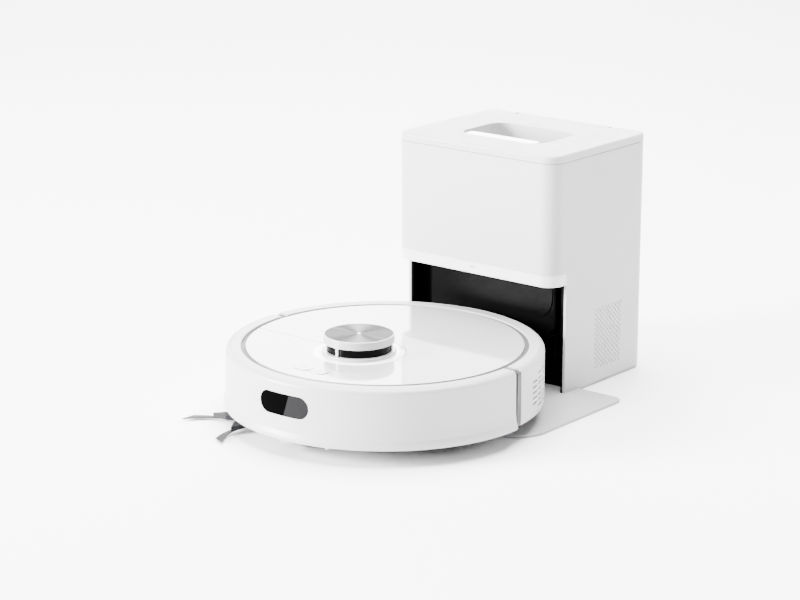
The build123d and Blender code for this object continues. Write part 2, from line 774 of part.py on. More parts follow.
with BuildPart() as top_frame:
    with BuildSketch(level(frame_bottom, 0, robot_y)):
        Circle(chassis_radius)
    extrude(amount=frame_plate)
    extrude(ring(ledge_radius, chassis_radius, frame_bottom), amount=ledge_top - frame_bottom)
    extrude(ring(groove_radius, chassis_radius, ledge_top), amount=frame_top - ledge_top)
    with BuildSketch(level(frame_bottom, 0, bin_middle)):
        Rectangle(bin_x + 2 * part_gap, bin_length + 2 * part_gap)
    extrude(amount=frame_plate, mode=Mode.SUBTRACT)
    with BuildSketch(level(frame_bottom, 0, turret_y)):
        Circle(turret_radius)
    extrude(amount=frame_plate, mode=Mode.SUBTRACT)
write(top_frame, "top_frame")


# ---- Outer shells: the bumper in front, the rear shell behind, a recessed strip between ----
def shell_profile(bottom):
    """Section of the robot's wall and rim, from the inside of its foot round to the rim's inner edge."""
    fillet_start = rim_height - 5.0
    with BuildLine() as profile:
        foot = Line((bottom[0][0] - 3.6, bottom[0][1]), bottom[0])
        Polyline(*bottom, (wall_radius, fillet_start))
        RadiusArc((wall_radius, fillet_start), (rim_edge_radius - 0.6, rim_height), -5.4)
        seam_start = rim_edge_radius - 0.6
        Polyline(
            (seam_start, rim_height),
            (seam_start - rim_seam / 2, rim_height - rim_seam),
            (seam_start - rim_seam, rim_height),
            (rim_inner_radius + 0.5, rim_height),
            (rim_inner_radius, rim_height - 0.5),
        )
        Line((rim_inner_radius, rim_height - 0.5), (rim_inner_radius, rim_low))
        Line((rim_inner_radius, rim_low), (wall_inner - 3.0, rim_low))
        RadiusArc((wall_inner - 3.0, rim_low), (wall_inner, rim_low - 3.0), 3.0)
        Line((wall_inner, rim_low - 3.0), (wall_inner, bottom[0][1] + 5.0))
        Line((wall_inner, bottom[0][1] + 5.0), foot @ 0)
    return profile.line


bumper_foot = [
    (171.4, skirt_height),
    (174.4, skirt_height + 0.9),
    (robot_radius, skirt_height + 3.2),
    (robot_radius - 0.3, skirt_height + 5.6),
    (wall_radius + 1.2, lip_height - 9.0),
    (wall_radius + 0.4, lip_height),
]
rear_foot = [
    (170.6, skirt_height_back),
    (wall_radius - 0.2, skirt_height_back + 1.2),
    (wall_radius + 0.4, skirt_height_back + 7.0),
    (wall_radius + 0.3, lip_height),
]
window_width = 64.4
window_height = 24.0
window_x = 5.6
window_z = 56.0

with BuildPart() as bumper:
    with BuildSketch(radial(front_angle - strip_start)):
        add(shell_profile(bumper_foot))
        make_face()
    revolve(axis=robot_axis, revolution_arc=2 * strip_start)
    with BuildSketch(upright(window_x, robot_y - robot_radius - 5, window_z)):
        SlotOverall(window_width, window_height)
    extrude(amount=-60, mode=Mode.SUBTRACT)
write(bumper, "bumper")

with BuildPart() as sensor_window:
    with BuildSketch(radial(front_angle - 30)):
        with Locations((wall_radius - 1.5, window_z)):
            Rectangle(2.4, 2 * window_height)
    revolve(axis=robot_axis, revolution_arc=60)
    with BuildSketch(upright(window_x, robot_y - robot_radius - 5, window_z)):
        SlotOverall(window_width, window_height)
    extrude(amount=-60, mode=Mode.INTERSECT)
write(sensor_window, "sensor_window")

slot_rows = 7
slot_pitch = 6.0
slot_length = 13.0
slot_thick = 2.2
slot_middle = 47.5
slot_angles = (106.6, 112.4, 118.2, 124.0)
dust_port_width = 60.0
dust_port_height = 20.0
plate_size = 13.0

with BuildPart() as rear_shell:
    with BuildSketch(radial(front_angle + strip_end)):
        add(shell_profile(rear_foot))
        make_face()
    revolve(axis=robot_axis, revolution_arc=360 - 2 * strip_end)
    for side in (-1, 1):
        for column, angle in enumerate(slot_angles):
            rows = slot_rows if 0 < column < 3 else slot_rows - 2
            turn = radians(front_angle + side * angle)
            outward = (cos(turn), sin(turn), 0)
            slot_plane = Plane(
                origin=(wall_radius * cos(turn), robot_y + wall_radius * sin(turn), slot_middle),
                x_dir=(-sin(turn), cos(turn), 0),
                z_dir=outward,
            )
            with BuildSketch(slot_plane):
                with GridLocations(0, slot_pitch, 1, rows):
                    SlotOverall(slot_length, slot_thick)
            extrude(amount=2 * skin, both=True, mode=Mode.SUBTRACT)
    with BuildSketch(upright(0, robot_y, port_z)):
        SlotOverall(dust_port_width - 12, dust_port_height - 8)
    extrude(amount=-2 * robot_radius, mode=Mode.SUBTRACT)
    with BuildSketch(upright(0, robot_y, charge_z)):
        with GridLocations(2 * charge_x, 0, 2, 1):
            RectangleRounded(plate_size, plate_size, 2)
    extrude(amount=-2 * robot_radius, mode=Mode.SUBTRACT)
write(rear_shell, "rear_shell")

with BuildPart() as charge_plates:
    with BuildSketch(radial(0)):
        with Locations((wall_radius - 1.0, charge_z)):
            Rectangle(2.0, plate_size + 4)
    revolve(axis=robot_axis, revolution_arc=180)
    with BuildSketch(upright(0, robot_y, charge_z)):
        with GridLocations(2 * charge_x, 0, 2, 1):
            RectangleRounded(plate_size, plate_size, 2)
    extrude(amount=-2 * robot_radius, mode=Mode.INTERSECT)
write(charge_plates, "charge_plates")

strip_radius = wall_inner - part_gap
strip_under = 3.6

with BuildPart() as side_strips:
    with BuildSketch(radial(0)):
        with BuildLine():
            Line((chassis_radius, slope_top + 2.0), (strip_radius - 1.0, slope_top + 2.0))
            Line((strip_radius - 1.0, slope_top + 2.0), (strip_radius, slope_top + 5.0))
            Line((strip_radius, slope_top + 5.0), (strip_radius, rim_low - strip_under))
            RadiusArc((strip_radius, rim_low - strip_under), (strip_radius - 3.2, rim_low - part_gap), -3.2)
            Line((strip_radius - 3.2, rim_low - part_gap), (chassis_radius, rim_low - part_gap))
            Line((chassis_radius, rim_low - part_gap), (chassis_radius, slope_top + 2.0))
        make_face()
    revolve(axis=robot_axis)
    strip_reach = 2 * robot_radius
    inner_angle = strip_start - 2.5
    with BuildSketch(level(0, 0, robot_y)):
        for side in (-1, 1):
            start, end = radians(front_angle + side * inner_angle), radians(front_angle + side * strip_end)
            with BuildLine():
                Polyline(
                    (0, 0),
                    (strip_reach * cos(start), strip_reach * sin(start)),
                    (strip_reach * cos(end), strip_reach * sin(end)),
                    close=True,
                )
            make_face()
    extrude(amount=dock_height, mode=Mode.INTERSECT)
write(side_strips, "side_strips")

# ---- Front deck with the turret's collar, and its two buttons ----
rotor_shaft = 3.0
button_width = 21.0
button_depth = 14.0
button_y = robot_y - 124.8
button_places = {"power_button": -7.4, "home_button": 14.4}
button_proud = 0.8

with BuildPart() as front_deck:
    with BuildSketch(level(ledge_top, 0, robot_y)):
        Circle(top_radius)
    extrude(amount=deck_thickness)
    with BuildSketch(level(ledge_top, 0, seam_y + top_radius)):
        Rectangle(2 * top_radius, 2 * top_radius)
    extrude(amount=deck_thickness, mode=Mode.SUBTRACT)
    with BuildSketch(level(ledge_top, 0, turret_y)):
        Circle(collar_radius)
    extrude(amount=deck_thickness)
    with BuildSketch(level(ledge_top, 0, turret_y)):
        Circle(rotor_shaft + running)
    extrude(amount=deck_thickness, mode=Mode.SUBTRACT)
    with BuildSketch(level(ledge_top, 0, button_y)):
        with Locations(*[(x, 0) for x in button_places.values()]):
            RectangleRounded(button_width + 2 * sliding, button_depth + 2 * sliding, button_depth / 2 + 0.2)
    extrude(amount=deck_thickness, mode=Mode.SUBTRACT)
write(front_deck, "front_deck")

for button_name, button_x in button_places.items():
    with BuildPart() as button:
        with BuildSketch(level(ledge_top + 0.4, button_x, button_y)):
            RectangleRounded(button_width, button_depth, button_depth / 2 - 0.1)
        extrude(amount=deck_thickness - 0.4 + button_proud)
        fillet(button.faces().sort_by(Axis.Z)[-1].edges(), 0.6)
        with BuildSketch(level(ledge_top - 1.0, button_x, button_y)):
            Circle(2.5)
        extrude(amount=2.0)
    write(button, button_name)

# ---- Flip lid: the rear of the top, hinged along the seam through the turret ----
with BuildPart() as flip_lid:
    with BuildSketch(level(ledge_top, 0, robot_y)):
        Circle(top_radius)
    extrude(amount=deck_thickness)
    with BuildSketch(level(ledge_top, 0, flip_axis_y - 2 * top_radius)):
        Rectangle(2 * top_radius, 4 * top_radius)
    extrude(amount=deck_thickness, mode=Mode.SUBTRACT)
    barrel_half = sqrt(top_radius**2 - (flip_axis_y - robot_y) ** 2) - 1.0
    with BuildSketch(sideways(-barrel_half, flip_axis_y, flip_axis_z)):
        Circle(deck_thickness / 2)
    extrude(amount=2 * barrel_half)
    with BuildSketch(level(ledge_top, 0, turret_y)):
        Circle(collar_radius + part_gap)
    extrude(amount=deck_thickness, mode=Mode.SUBTRACT)
    with BuildSketch(sideways(-top_radius, flip_axis_y, flip_axis_z)):
        Circle(flip_pin_radius)
    extrude(amount=2 * top_radius, mode=Mode.SUBTRACT)
write(flip_lid, "flip_lid")

pin_length = 14.0

with BuildPart() as flip_lid_pins:
    pin_end = sqrt(groove_radius**2 - (flip_axis_y - robot_y) ** 2) - sliding
    with BuildSketch(sideways(-pin_end, flip_axis_y, flip_axis_z)):
        Circle(flip_pin_radius)
    extrude(amount=pin_length)
    with BuildSketch(sideways(pin_end - pin_length, flip_axis_y, flip_axis_z)):
        Circle(flip_pin_radius)
    extrude(amount=pin_length)
write(flip_lid_pins, "flip_lid_pins")

# ---- Turret: posts and rings, dark window, sprung cap with a brushed disc, spinning head ----
base_ring_height = 3.0
window_radius = turret_radius - 3.0
post_count = 3
post_width = 3.2
cap_bottom = 94.4
cap_skirt = 1.5
post_top = 96.0
post_depth = 1.4
post_start = 270.0
window_band = 11.0
disc_radius = turret_radius - 1.4
disc_thickness = 1.4
rotor_bottom = 85.4
rotor_radius = turret_radius - 8.0
rotor_height = 6.5
rotor_drop = 14.0
pulley_radius = 9.0

with BuildPart() as turret_frame:
    extrude(ring(window_radius - 6, turret_radius + 1.6, top_height, turret_y), amount=base_ring_height)
    fillet(turret_frame.edges().group_by(Axis.Z)[-1].sort_by(SortBy.LENGTH)[-1], 1.2)
    with BuildSketch(level(top_height + base_ring_height, 0, turret_y)):
        with PolarLocations(window_radius + 0.7, post_count, post_start):
            Rectangle(post_depth, post_width)
    extrude(amount=post_top - top_height - base_ring_height)
    extrude(ring(window_radius, window_radius + 1.3, post_top - 1.4, turret_y), amount=1.4)
write(turret_frame, "turret_frame")

with BuildPart() as turret_window:
    window_foot = top_height + base_ring_height
    extrude(ring(window_radius - 1.5, window_radius - part_gap / 2, window_foot, turret_y), amount=window_band)
write(turret_window, "turret_window")

with BuildPart() as turret_cap:
    with BuildSketch(level(cap_bottom, 0, turret_y)):
        Circle(turret_radius)
    extrude(amount=turret_height - cap_bottom)
    fillet(turret_cap.faces().sort_by(Axis.Z)[-1].edges(), 0.9)
    with BuildSketch(level(cap_bottom, 0, turret_y)):
        Circle(turret_radius - cap_skirt)
    extrude(amount=turret_height - cap_bottom - disc_thickness - 2.0, mode=Mode.SUBTRACT)
    with BuildSketch(level(turret_height - disc_thickness, 0, turret_y)):
        Circle(disc_radius)
    extrude(amount=2 * disc_thickness, mode=Mode.SUBTRACT)
write(turret_cap, "turret_cap")

with BuildPart() as turret_disc:
    with BuildSketch(level(turret_height - disc_thickness, 0, turret_y)):
        Circle(disc_radius)
    extrude(amount=disc_thickness - 0.1)
    chamfer(turret_disc.faces().sort_by(Axis.Z)[-1].edges(), 0.6)
write(turret_disc, "turret_disc")

with BuildPart() as range_rotor:
    with BuildSketch(level(rotor_bottom, 0, turret_y)):
        Circle(rotor_radius)
    extrude(amount=2.0)
    with BuildSketch(level(rotor_bottom, 0, turret_y)):
        with Locations((0, -6)):
            RectangleRounded(40, 26, 4)
    extrude(amount=rotor_height)
    with BuildSketch(upright(0, turret_y, rotor_bottom + (rotor_height + 2.0) / 2)):
        with GridLocations(18, 0, 2, 1):
            Circle(1.8)
    extrude(amount=rotor_radius, mode=Mode.SUBTRACT)
    with BuildSketch(level(rotor_bottom, 0, turret_y)):
        Circle(rotor_shaft)
    extrude(amount=-rotor_drop)
    with BuildSketch(level(rotor_bottom - rotor_drop, 0, turret_y)):
        Circle(pulley_radius)
    extrude(amount=3.0)
write(range_rotor, "range_rotor")

# ---- Wheel modules: sprung arm, hub on an axle, ribbed tyre ----
tyre_wall = 5.0
rib_count = 30
axle_radius = 4.0


def tyre(x):
    """A tyre with chunky transverse ribs, open to the hub."""
    with BuildPart() as tread:
        with BuildSketch(sideways(x - wheel_width / 2, wheel_y, wheel_radius)):
            Circle(wheel_radius - 1.6)
            Circle(wheel_radius - tyre_wall, mode=Mode.SUBTRACT)
        extrude(amount=wheel_width)
        with BuildSketch(sideways(x - wheel_width / 2, wheel_y, wheel_radius)):
            with PolarLocations(wheel_radius - 1.7, rib_count, -90):
                Rectangle(3.4, 4.0)
            Circle(wheel_radius, mode=Mode.INTERSECT)
        extrude(amount=wheel_width)
    return tread


def hub(x, inner_side):
    """A spoked hub with the axle that runs in the arm, on the side named by a sign."""
    rim = wheel_radius - tyre_wall
    with BuildPart() as wheel:
        with BuildSketch(sideways(x - wheel_width / 2, wheel_y, wheel_radius)):
            Circle(rim)
        extrude(amount=wheel_width)
        for face_side in (-1, 1):
            with BuildSketch(sideways(x + face_side * wheel_width / 2, wheel_y, wheel_radius)):
                Circle(rim - 3)
                Circle(9, mode=Mode.SUBTRACT)
                with PolarLocations(rim / 2, 6):
                    Rectangle(rim, 4, mode=Mode.SUBTRACT)
            extrude(amount=-face_side * 7, mode=Mode.SUBTRACT)
        with BuildSketch(sideways(x + inner_side * wheel_width / 2, wheel_y, wheel_radius)):
            Circle(axle_radius)
        extrude(amount=inner_side * (arm_thickness + 1.0))
    return wheel


def arm(side):
    """A gearbox-shaped arm from its pivot to the wheel's axle, bored for both."""
    start = arm_inner if side > 0 else -arm_inner - arm_thickness
    with BuildPart() as body:
        with BuildSketch(sideways(start, 0, 0)):
            with Locations((wheel_y, wheel_radius)):
                Circle(15)
            with Locations((pivot_y, pivot_z)):
                Circle(8)
            make_hull()
            with Locations((wheel_y, wheel_radius)):
                Circle(axle_radius + running, mode=Mode.SUBTRACT)
            with Locations((pivot_y, pivot_z)):
                Circle(pivot_radius + running, mode=Mode.SUBTRACT)
        extrude(amount=arm_thickness)
    return body


for side_name, side in (("left", -1), ("right", 1)):
    write(tyre(side * wheel_x), f"{side_name}_tyre")
    write(hub(side * wheel_x, -side), f"{side_name}_hub")
    write(arm(side), f"{side_name}_arm")

# ---- Caster: a fork that swivels and the small wheel that rolls in it ----
caster_radius = 12.0
caster_width = 10.0
caster_trail = 6.0
fork_width = 17.0
fork_top = 28.5
caster_axle = 1.5

with BuildPart() as caster_fork:
    with BuildSketch(level(fork_top - 3.0, 0, caster_y)):
        Circle(11)
    extrude(amount=3.0)
    with BuildSketch(level(fork_top, 0, caster_y)):
        Circle(caster_stem)
    extrude(amount=caster_roof + caster_boss - fork_top)
    with BuildSketch(sideways(-fork_width / 2, caster_y + caster_trail, caster_radius)):
        Circle(4)
        with Locations((-caster_trail / 2, (fork_top - caster_radius) / 2)):
            Rectangle(10, fork_top - caster_radius)
    extrude(amount=fork_width)
    with BuildSketch(level(0, 0, caster_y)):
        Rectangle(caster_width + 1.0, 8 * caster_trail)
    extrude(amount=fork_top - 3.0, mode=Mode.SUBTRACT)
    with BuildSketch(sideways(-fork_width / 2, caster_y + caster_trail, caster_radius)):
        Circle(caster_axle)
    extrude(amount=fork_width)
write(caster_fork, "caster_fork")

with BuildPart() as caster_wheel:
    with BuildSketch(sideways(-caster_width / 2, caster_y + caster_trail, caster_radius)):
        Circle(caster_radius)
        Circle(caster_axle + running, mode=Mode.SUBTRACT)
    extrude(amount=caster_width)
    fillet(caster_wheel.edges().filter_by(GeomType.CIRCLE).group_by(SortBy.LENGTH)[-1], 1.5)
write(caster_wheel, "caster_wheel")

# ---- Main brush with helical fins, and the guard that holds it in ----
core_radius = 12.0
fin_count = 6
fin_thick = 2.4
fin_twist = 60.0

with BuildPart() as main_brush:
    with BuildSketch(sideways(-brush_length / 2, brush_y, brush_z)):
        Circle(core_radius)
    extrude(amount=brush_length)
    for section in range(2):
        start_turn = fin_twist * (1 - section)
        end_turn = fin_twist * section
        for index in range(fin_count):
            spoke = index * 360 / fin_count
            x_from = -brush_length / 2 + section * brush_length / 2
            for x, turn in ((x_from, start_turn / 2), (x_from + brush_length / 2, end_turn / 2)):
                with BuildSketch(sideways(x, brush_y, brush_z)):
                    with PolarLocations((core_radius + brush_radius) / 2 - 1, 1, spoke + turn):
                        Rectangle(brush_radius - core_radius + 2, fin_thick)
            loft()
    for end in (-1, 1):
        with BuildSketch(sideways(end * brush_length / 2, brush_y, brush_z)):
            Circle(brush_axle)
        extrude(amount=end * 4)
write(main_brush, "main_brush")

guard_bottom = 7.6
guard_overhang = 22.0

with BuildPart() as brush_guard:
    with BuildSketch(level(guard_bottom, 0, brush_y)):
        RectangleRounded(brush_length + guard_overhang, brush_well_depth + 20, 8)
        Rectangle(brush_length + 1, brush_well_depth - 8, mode=Mode.SUBTRACT)
    extrude(amount=chassis_floor - guard_bottom)
    chamfer(brush_guard.faces().sort_by(Axis.Z)[0].outer_wire().edges(), 1.2)
write(brush_guard, "brush_guard")

# ---- Side brush: a hub with five paddles, each holding a tuft that flares to its tip ----
sweeper_top = 8.6
sweeper_bottom = 1.8
sweeper_hub = 11.0
paddle_bottom = 3.5
paddle_reach = 46.0
sweep_reach = 79.0
tuft_count = 5
tuft_turn = 208.0
tuft_angles = [tuft_turn + index * 360 / tuft_count for index in range(tuft_count)]
tuft_start = 38.0
tuft_height = 1.5
tuft_low = paddle_bottom - tuft_height - 0.2


def around_sweeper(height, angle):
    """A level sketch plane centred on the side brush and turned by an angle in degrees."""
    turn = radians(angle)
    return Plane(origin=(sweeper_x, sweeper_y, height), x_dir=(cos(turn), sin(turn), 0), z_dir=(0, 0, 1))


with BuildPart() as side_brush_hub:
    with BuildSketch(level(sweeper_bottom, sweeper_x, sweeper_y)):
        Circle(sweeper_hub)
    extrude(amount=sweeper_top - sweeper_bottom)
    fillet(side_brush_hub.faces().sort_by(Axis.Z)[0].edges(), 1.5)
    for angle in tuft_angles:
        with BuildSketch(around_sweeper(paddle_bottom, angle)):
            Polygon((8, -3), (30, -7), (paddle_reach, 0), (30, 7), (8, 3), align=None)
        extrude(amount=sweeper_top - paddle_bottom)
    with BuildSketch(level(sweeper_top, sweeper_x, sweeper_y)):
        Circle(sweeper_shaft)
    extrude(amount=17)
write(side_brush_hub, "side_brush_hub")

with BuildPart() as side_brush_bristles:
    for angle in tuft_angles:
        with BuildSketch(around_sweeper(tuft_low, angle)):
            Polygon(
                (tuft_start, -1.5),
                (sweep_reach - 3, -8),
                (sweep_reach - 0.5, 7),
                (sweep_reach - 30, 3),
                (tuft_start, 2),
                align=None,
            )
        extrude(amount=tuft_height)
write(side_brush_bristles, "side_brush_bristles")

# ---- Inside the robot: dustbin, filter, fan, battery and board ----
dustbin_wall = 1.8
dustbin_bottom = 22.0
fan_x = 112.0
fan_y = robot_y + 70.0

with BuildPart() as dustbin:
    with BuildSketch(level(dustbin_bottom, 0, bin_middle)):
        RectangleRounded(bin_x, bin_length, 10)
    extrude(amount=robot_bin_top - dustbin_bottom)
    with BuildSketch(level(dustbin_bottom + dustbin_wall, 0, bin_middle)):
        RectangleRounded(bin_x - 2 * dustbin_wall, bin_length - 2 * dustbin_wall, 8)
    extrude(amount=robot_bin_top - dustbin_bottom - 2 * dustbin_wall, mode=Mode.SUBTRACT)
    with BuildSketch(upright(0, bin_start - 1, 34)):
        RectangleRounded(108, 12, 3)
    extrude(amount=-4, mode=Mode.SUBTRACT)
    with BuildSketch(upright(0, bin_start + bin_length - 4, port_z)):
        SlotOverall(dust_port_width - 12, dust_port_height - 8)
    extrude(amount=-8, mode=Mode.SUBTRACT)
    with BuildSketch(level(robot_bin_top - 5 * dustbin_wall, 40, bin_middle)):
        Rectangle(64, 70)
    extrude(amount=6 * dustbin_wall, mode=Mode.SUBTRACT)
write(dustbin, "dustbin")

filter_pitch = 5.0

with BuildPart() as dustbin_filter:
    with BuildSketch(level(robot_bin_top - 8.0, 40, bin_middle)):
        Rectangle(64 - 2 * sliding, 70 - 2 * sliding)
        Rectangle(58, 64, mode=Mode.SUBTRACT)
    extrude(amount=8.0)
    with BuildSketch(level(robot_bin_top - 8.0, 40, bin_middle)):
        with GridLocations(0, filter_pitch, 1, 13):
            Rectangle(59, 2.6)
        with GridLocations(56, 0, 2, 1):
            Rectangle(4, 65)
    extrude(amount=6.4)
write(dustbin_filter, "dustbin_filter")

fan_bottom = chassis_floor + chassis_skin
fan_can = 20.0
fan_foot = 17.0
fan_can_bottom = 21.0
fan_can_top = 44.0
fan_shaft = 2.5
fan_radius = 24.0

with BuildPart() as fan_motor:
    with BuildSketch(level(fan_bottom, fan_x, fan_y)):
        Circle(fan_foot)
    extrude(amount=fan_can_bottom - fan_bottom)
    with BuildSketch(level(fan_can_bottom, fan_x, fan_y)):
        Circle(fan_can)
    extrude(amount=fan_can_top - fan_can_bottom)
    fillet(fan_motor.faces().sort_by(Axis.Z)[-1].edges(), 3)
    with BuildSketch(level(fan_can_top - 1, fan_x, fan_y)):
        Circle(fan_shaft)
    extrude(amount=15)
write(fan_motor, "fan_motor")

write(impeller(fan_y, fan_x, fan_can_top + 1.5, fan_radius, 12.0, fan_shaft, 9), "fan_impeller")

battery_width = 122.0
battery_length = 50.0
battery_height = 26.0
battery_y = robot_y - 84.0
cell_radius = 9.0

with BuildPart() as battery:
    with BuildSketch(level(fan_bottom, 0, battery_y)):
        RectangleRounded(battery_width, battery_length, 5)
    extrude(amount=battery_height)
    fillet(battery.faces().sort_by(Axis.Z)[-1].edges(), 3)
    with BuildSketch(level(fan_bottom + battery_height, 0, battery_y)):
        with GridLocations(2 * cell_radius + 2, 0, 6, 1):
            Rectangle(2.0, battery_length - 10)
    extrude(amount=-0.8, mode=Mode.SUBTRACT)
write(battery, "battery")

board_z = 56.0
chip_places = [(-42, 14, 16, 16), (-12, 12, 12, 12), (22, 14, 18, 10), (48, -12, 10, 14), (-30, -16, 22, 8)]

with BuildPart() as main_board:
    with BuildSketch(level(board_z, 0, battery_y - 6)):
        RectangleRounded(140, 62, 4)
        with Locations((0, turret_y - battery_y + 6)):
            Circle(pulley_radius + 6, mode=Mode.SUBTRACT)
    extrude(amount=1.6)
    with BuildSketch(level(board_z + 1.6, 0, battery_y - 6)):
        for chip_x, chip_y, chip_width, chip_length in chip_places:
            with Locations((chip_x, chip_y)):
                Rectangle(chip_width, chip_length)
    extrude(amount=2.0)
    with BuildSketch(level(fan_bottom, 0, battery_y - 6)):
        with GridLocations(132, 54, 2, 2):
            Circle(3)
    extrude(amount=board_z - fan_bottom)
write(main_board, "main_board")

# ---- Mop: a clip-on bracket under the tail and its cloth pad ----
mop_radius = chassis_radius - 4.0
mop_thickness = 1.4
pad_radius = mop_radius - 4.0
pad_top = chassis_floor - mop_thickness - 0.2
pad_bottom = plate_thickness + part_gap


def half_moon(radius, start, bottom):
    """The part of a disc about the robot's axis that lies behind a straight edge, as a face."""
    with BuildSketch(level(bottom, 0, robot_y)) as face:
        Circle(radius)
        with Locations((0, start - radius - robot_y)):
            Rectangle(4 * radius, 2 * radius, mode=Mode.SUBTRACT)
    return face.sketch


with BuildPart() as mop_bracket:
    extrude(half_moon(mop_radius, mop_start, chassis_floor - mop_thickness - 0.1), amount=mop_thickness)
write(mop_bracket, "mop_bracket")

with BuildPart() as mop_pad:
    extrude(half_moon(pad_radius, mop_start + 6, pad_bottom), amount=pad_top - pad_bottom)
    pad_edges = mop_pad.edges().filter_by(lambda edge: abs(edge.center().Z - pad_bottom) < 0.01)
    fillet(pad_edges, 1.5)
write(mop_pad, "mop_pad")

standing = (Align.CENTER, Align.CENTER, Align.MIN)

with BuildPart() as robot_screws:
    with Locations(*robot_screw_places):
        with Locations((0, 0, -chassis_skin)):
            Cylinder(screw_radius, chassis_skin - 0.2, align=standing)
        with Locations((0, 0, -screw_head_height)):
            Cylinder(screw_head_radius, screw_head_height - 0.2, align=standing)
        with Locations((0, 0, -1.1)):
            Box(3.4, 0.8, 2, align=standing, mode=Mode.SUBTRACT)
            Box(0.8, 3.4, 2, align=standing, mode=Mode.SUBTRACT)
write(robot_screws, "robot_screws")
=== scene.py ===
import json
import math
import random

import bmesh
import bpy
from mathutils import Matrix, Vector, noise

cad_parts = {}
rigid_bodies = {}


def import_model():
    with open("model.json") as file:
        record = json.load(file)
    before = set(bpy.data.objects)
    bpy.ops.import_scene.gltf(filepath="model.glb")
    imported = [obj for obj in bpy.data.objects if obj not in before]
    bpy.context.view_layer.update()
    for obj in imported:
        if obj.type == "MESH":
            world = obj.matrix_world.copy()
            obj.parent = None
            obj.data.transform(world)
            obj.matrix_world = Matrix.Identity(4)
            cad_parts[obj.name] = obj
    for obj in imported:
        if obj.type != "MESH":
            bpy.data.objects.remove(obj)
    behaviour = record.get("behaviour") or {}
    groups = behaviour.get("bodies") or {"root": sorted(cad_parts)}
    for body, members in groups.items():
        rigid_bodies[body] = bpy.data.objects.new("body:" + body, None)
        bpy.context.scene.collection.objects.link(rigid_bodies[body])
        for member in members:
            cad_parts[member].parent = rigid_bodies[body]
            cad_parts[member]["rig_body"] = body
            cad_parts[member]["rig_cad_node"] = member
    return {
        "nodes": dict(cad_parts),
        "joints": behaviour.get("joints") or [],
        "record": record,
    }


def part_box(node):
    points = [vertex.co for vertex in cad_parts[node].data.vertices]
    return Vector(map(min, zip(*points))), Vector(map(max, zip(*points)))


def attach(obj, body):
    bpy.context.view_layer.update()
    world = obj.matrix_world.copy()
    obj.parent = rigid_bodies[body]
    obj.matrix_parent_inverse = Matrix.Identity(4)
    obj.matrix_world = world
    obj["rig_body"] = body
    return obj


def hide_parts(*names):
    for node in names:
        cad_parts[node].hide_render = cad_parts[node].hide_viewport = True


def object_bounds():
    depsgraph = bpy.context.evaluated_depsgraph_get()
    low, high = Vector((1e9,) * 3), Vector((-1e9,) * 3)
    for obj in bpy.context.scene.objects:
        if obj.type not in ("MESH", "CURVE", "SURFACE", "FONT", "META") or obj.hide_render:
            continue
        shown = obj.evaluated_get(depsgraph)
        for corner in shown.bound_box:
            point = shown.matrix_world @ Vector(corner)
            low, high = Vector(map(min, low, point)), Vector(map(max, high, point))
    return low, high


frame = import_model()
cad_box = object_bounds()
nodes = frame["nodes"]
MM = 0.001


def middle_of(node):
    low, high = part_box(node)
    return (low + high) / 2


# ------------------------------------------------------------------------------------
# Node materials
# ------------------------------------------------------------------------------------
class Shader:
    """A Principled material with short calls for the nodes that feed it."""

    def __init__(self, name, color, roughness, **settings):
        self.material = bpy.data.materials.new(name)
        self.material.use_nodes = True
        self.tree = self.material.node_tree
        self.bsdf = self.tree.nodes["Principled BSDF"]
        self.color = color
        self.bsdf.inputs["Base Color"].default_value = (*color, 1)
        self.bsdf.inputs["Roughness"].default_value = roughness
        for socket, value in settings.items():
            self.bsdf.inputs[socket.replace("_", " ")].default_value = value
        self.place = self.add("ShaderNodeTexCoord").outputs["Object"]

    def add(self, kind, **values):
        node = self.tree.nodes.new(kind)
        for name, value in values.items():
            setattr(node, name, value)
        return node

    def join(self, source, target):
        self.tree.links.new(source, target)

    def noise(self, scale, detail=3.0, roughness=0.5, stretch=None):
        node = self.add("ShaderNodeTexNoise")
        node.inputs["Scale"].default_value = scale
        node.inputs["Detail"].default_value = detail
        node.inputs["Roughness"].default_value = roughness
        place = self.place
        if stretch:
            mapping = self.add("ShaderNodeMapping")
            mapping.inputs["Scale"].default_value = stretch
            self.join(place, mapping.inputs["Vector"])
            place = mapping.outputs["Vector"]
        self.join(place, node.inputs["Vector"])
        return node.outputs["Fac"]

    def spread(self, source, low, high, start=0.3, end=0.7):
        """Maps a field onto a range of numbers."""
        node = self.add("ShaderNodeMapRange")
        limits = {"From Min": start, "From Max": end, "To Min": low, "To Max": high}
        for name, value in limits.items():
            node.inputs[name].default_value = value
        self.join(source, node.inputs["Value"])
        return node.outputs["Result"]

    def ramp(self, source, stops):
        node = self.add("ShaderNodeValToRGB")
        points = node.color_ramp.elements
        while len(points) < len(stops):
            points.new(0.5)
        for point, (position, color) in zip(points, stops):
            point.position = position
            point.color = (*color, 1)
        self.join(source, node.inputs["Fac"])
        return node.outputs["Color"]

    def bump(self, source, strength, distance, below=None):
        node = self.add("ShaderNodeBump")
        node.inputs["Strength"].default_value = strength
        node.inputs["Distance"].default_value = distance
        self.join(source, node.inputs["Height"])
        if below:
            self.join(below, node.inputs["Normal"])
        return node.outputs["Normal"]

    def tint(self, source, darker, start=0.35, end=0.65):
        """Drifts the base colour between itself and a slightly darker value."""
        low = tuple(channel * darker for channel in self.color)
        self.paint(self.ramp(source, ((start, low), (end, self.color))))

    def paint(self, color):
        self.join(color, self.bsdf.inputs["Base Color"])

    def rough(self, source, low, high):
        self.join(self.spread(source, low, high), self.bsdf.inputs["Roughness"])

    def relief(self, normal):
        self.join(normal, self.bsdf.inputs["Normal"])


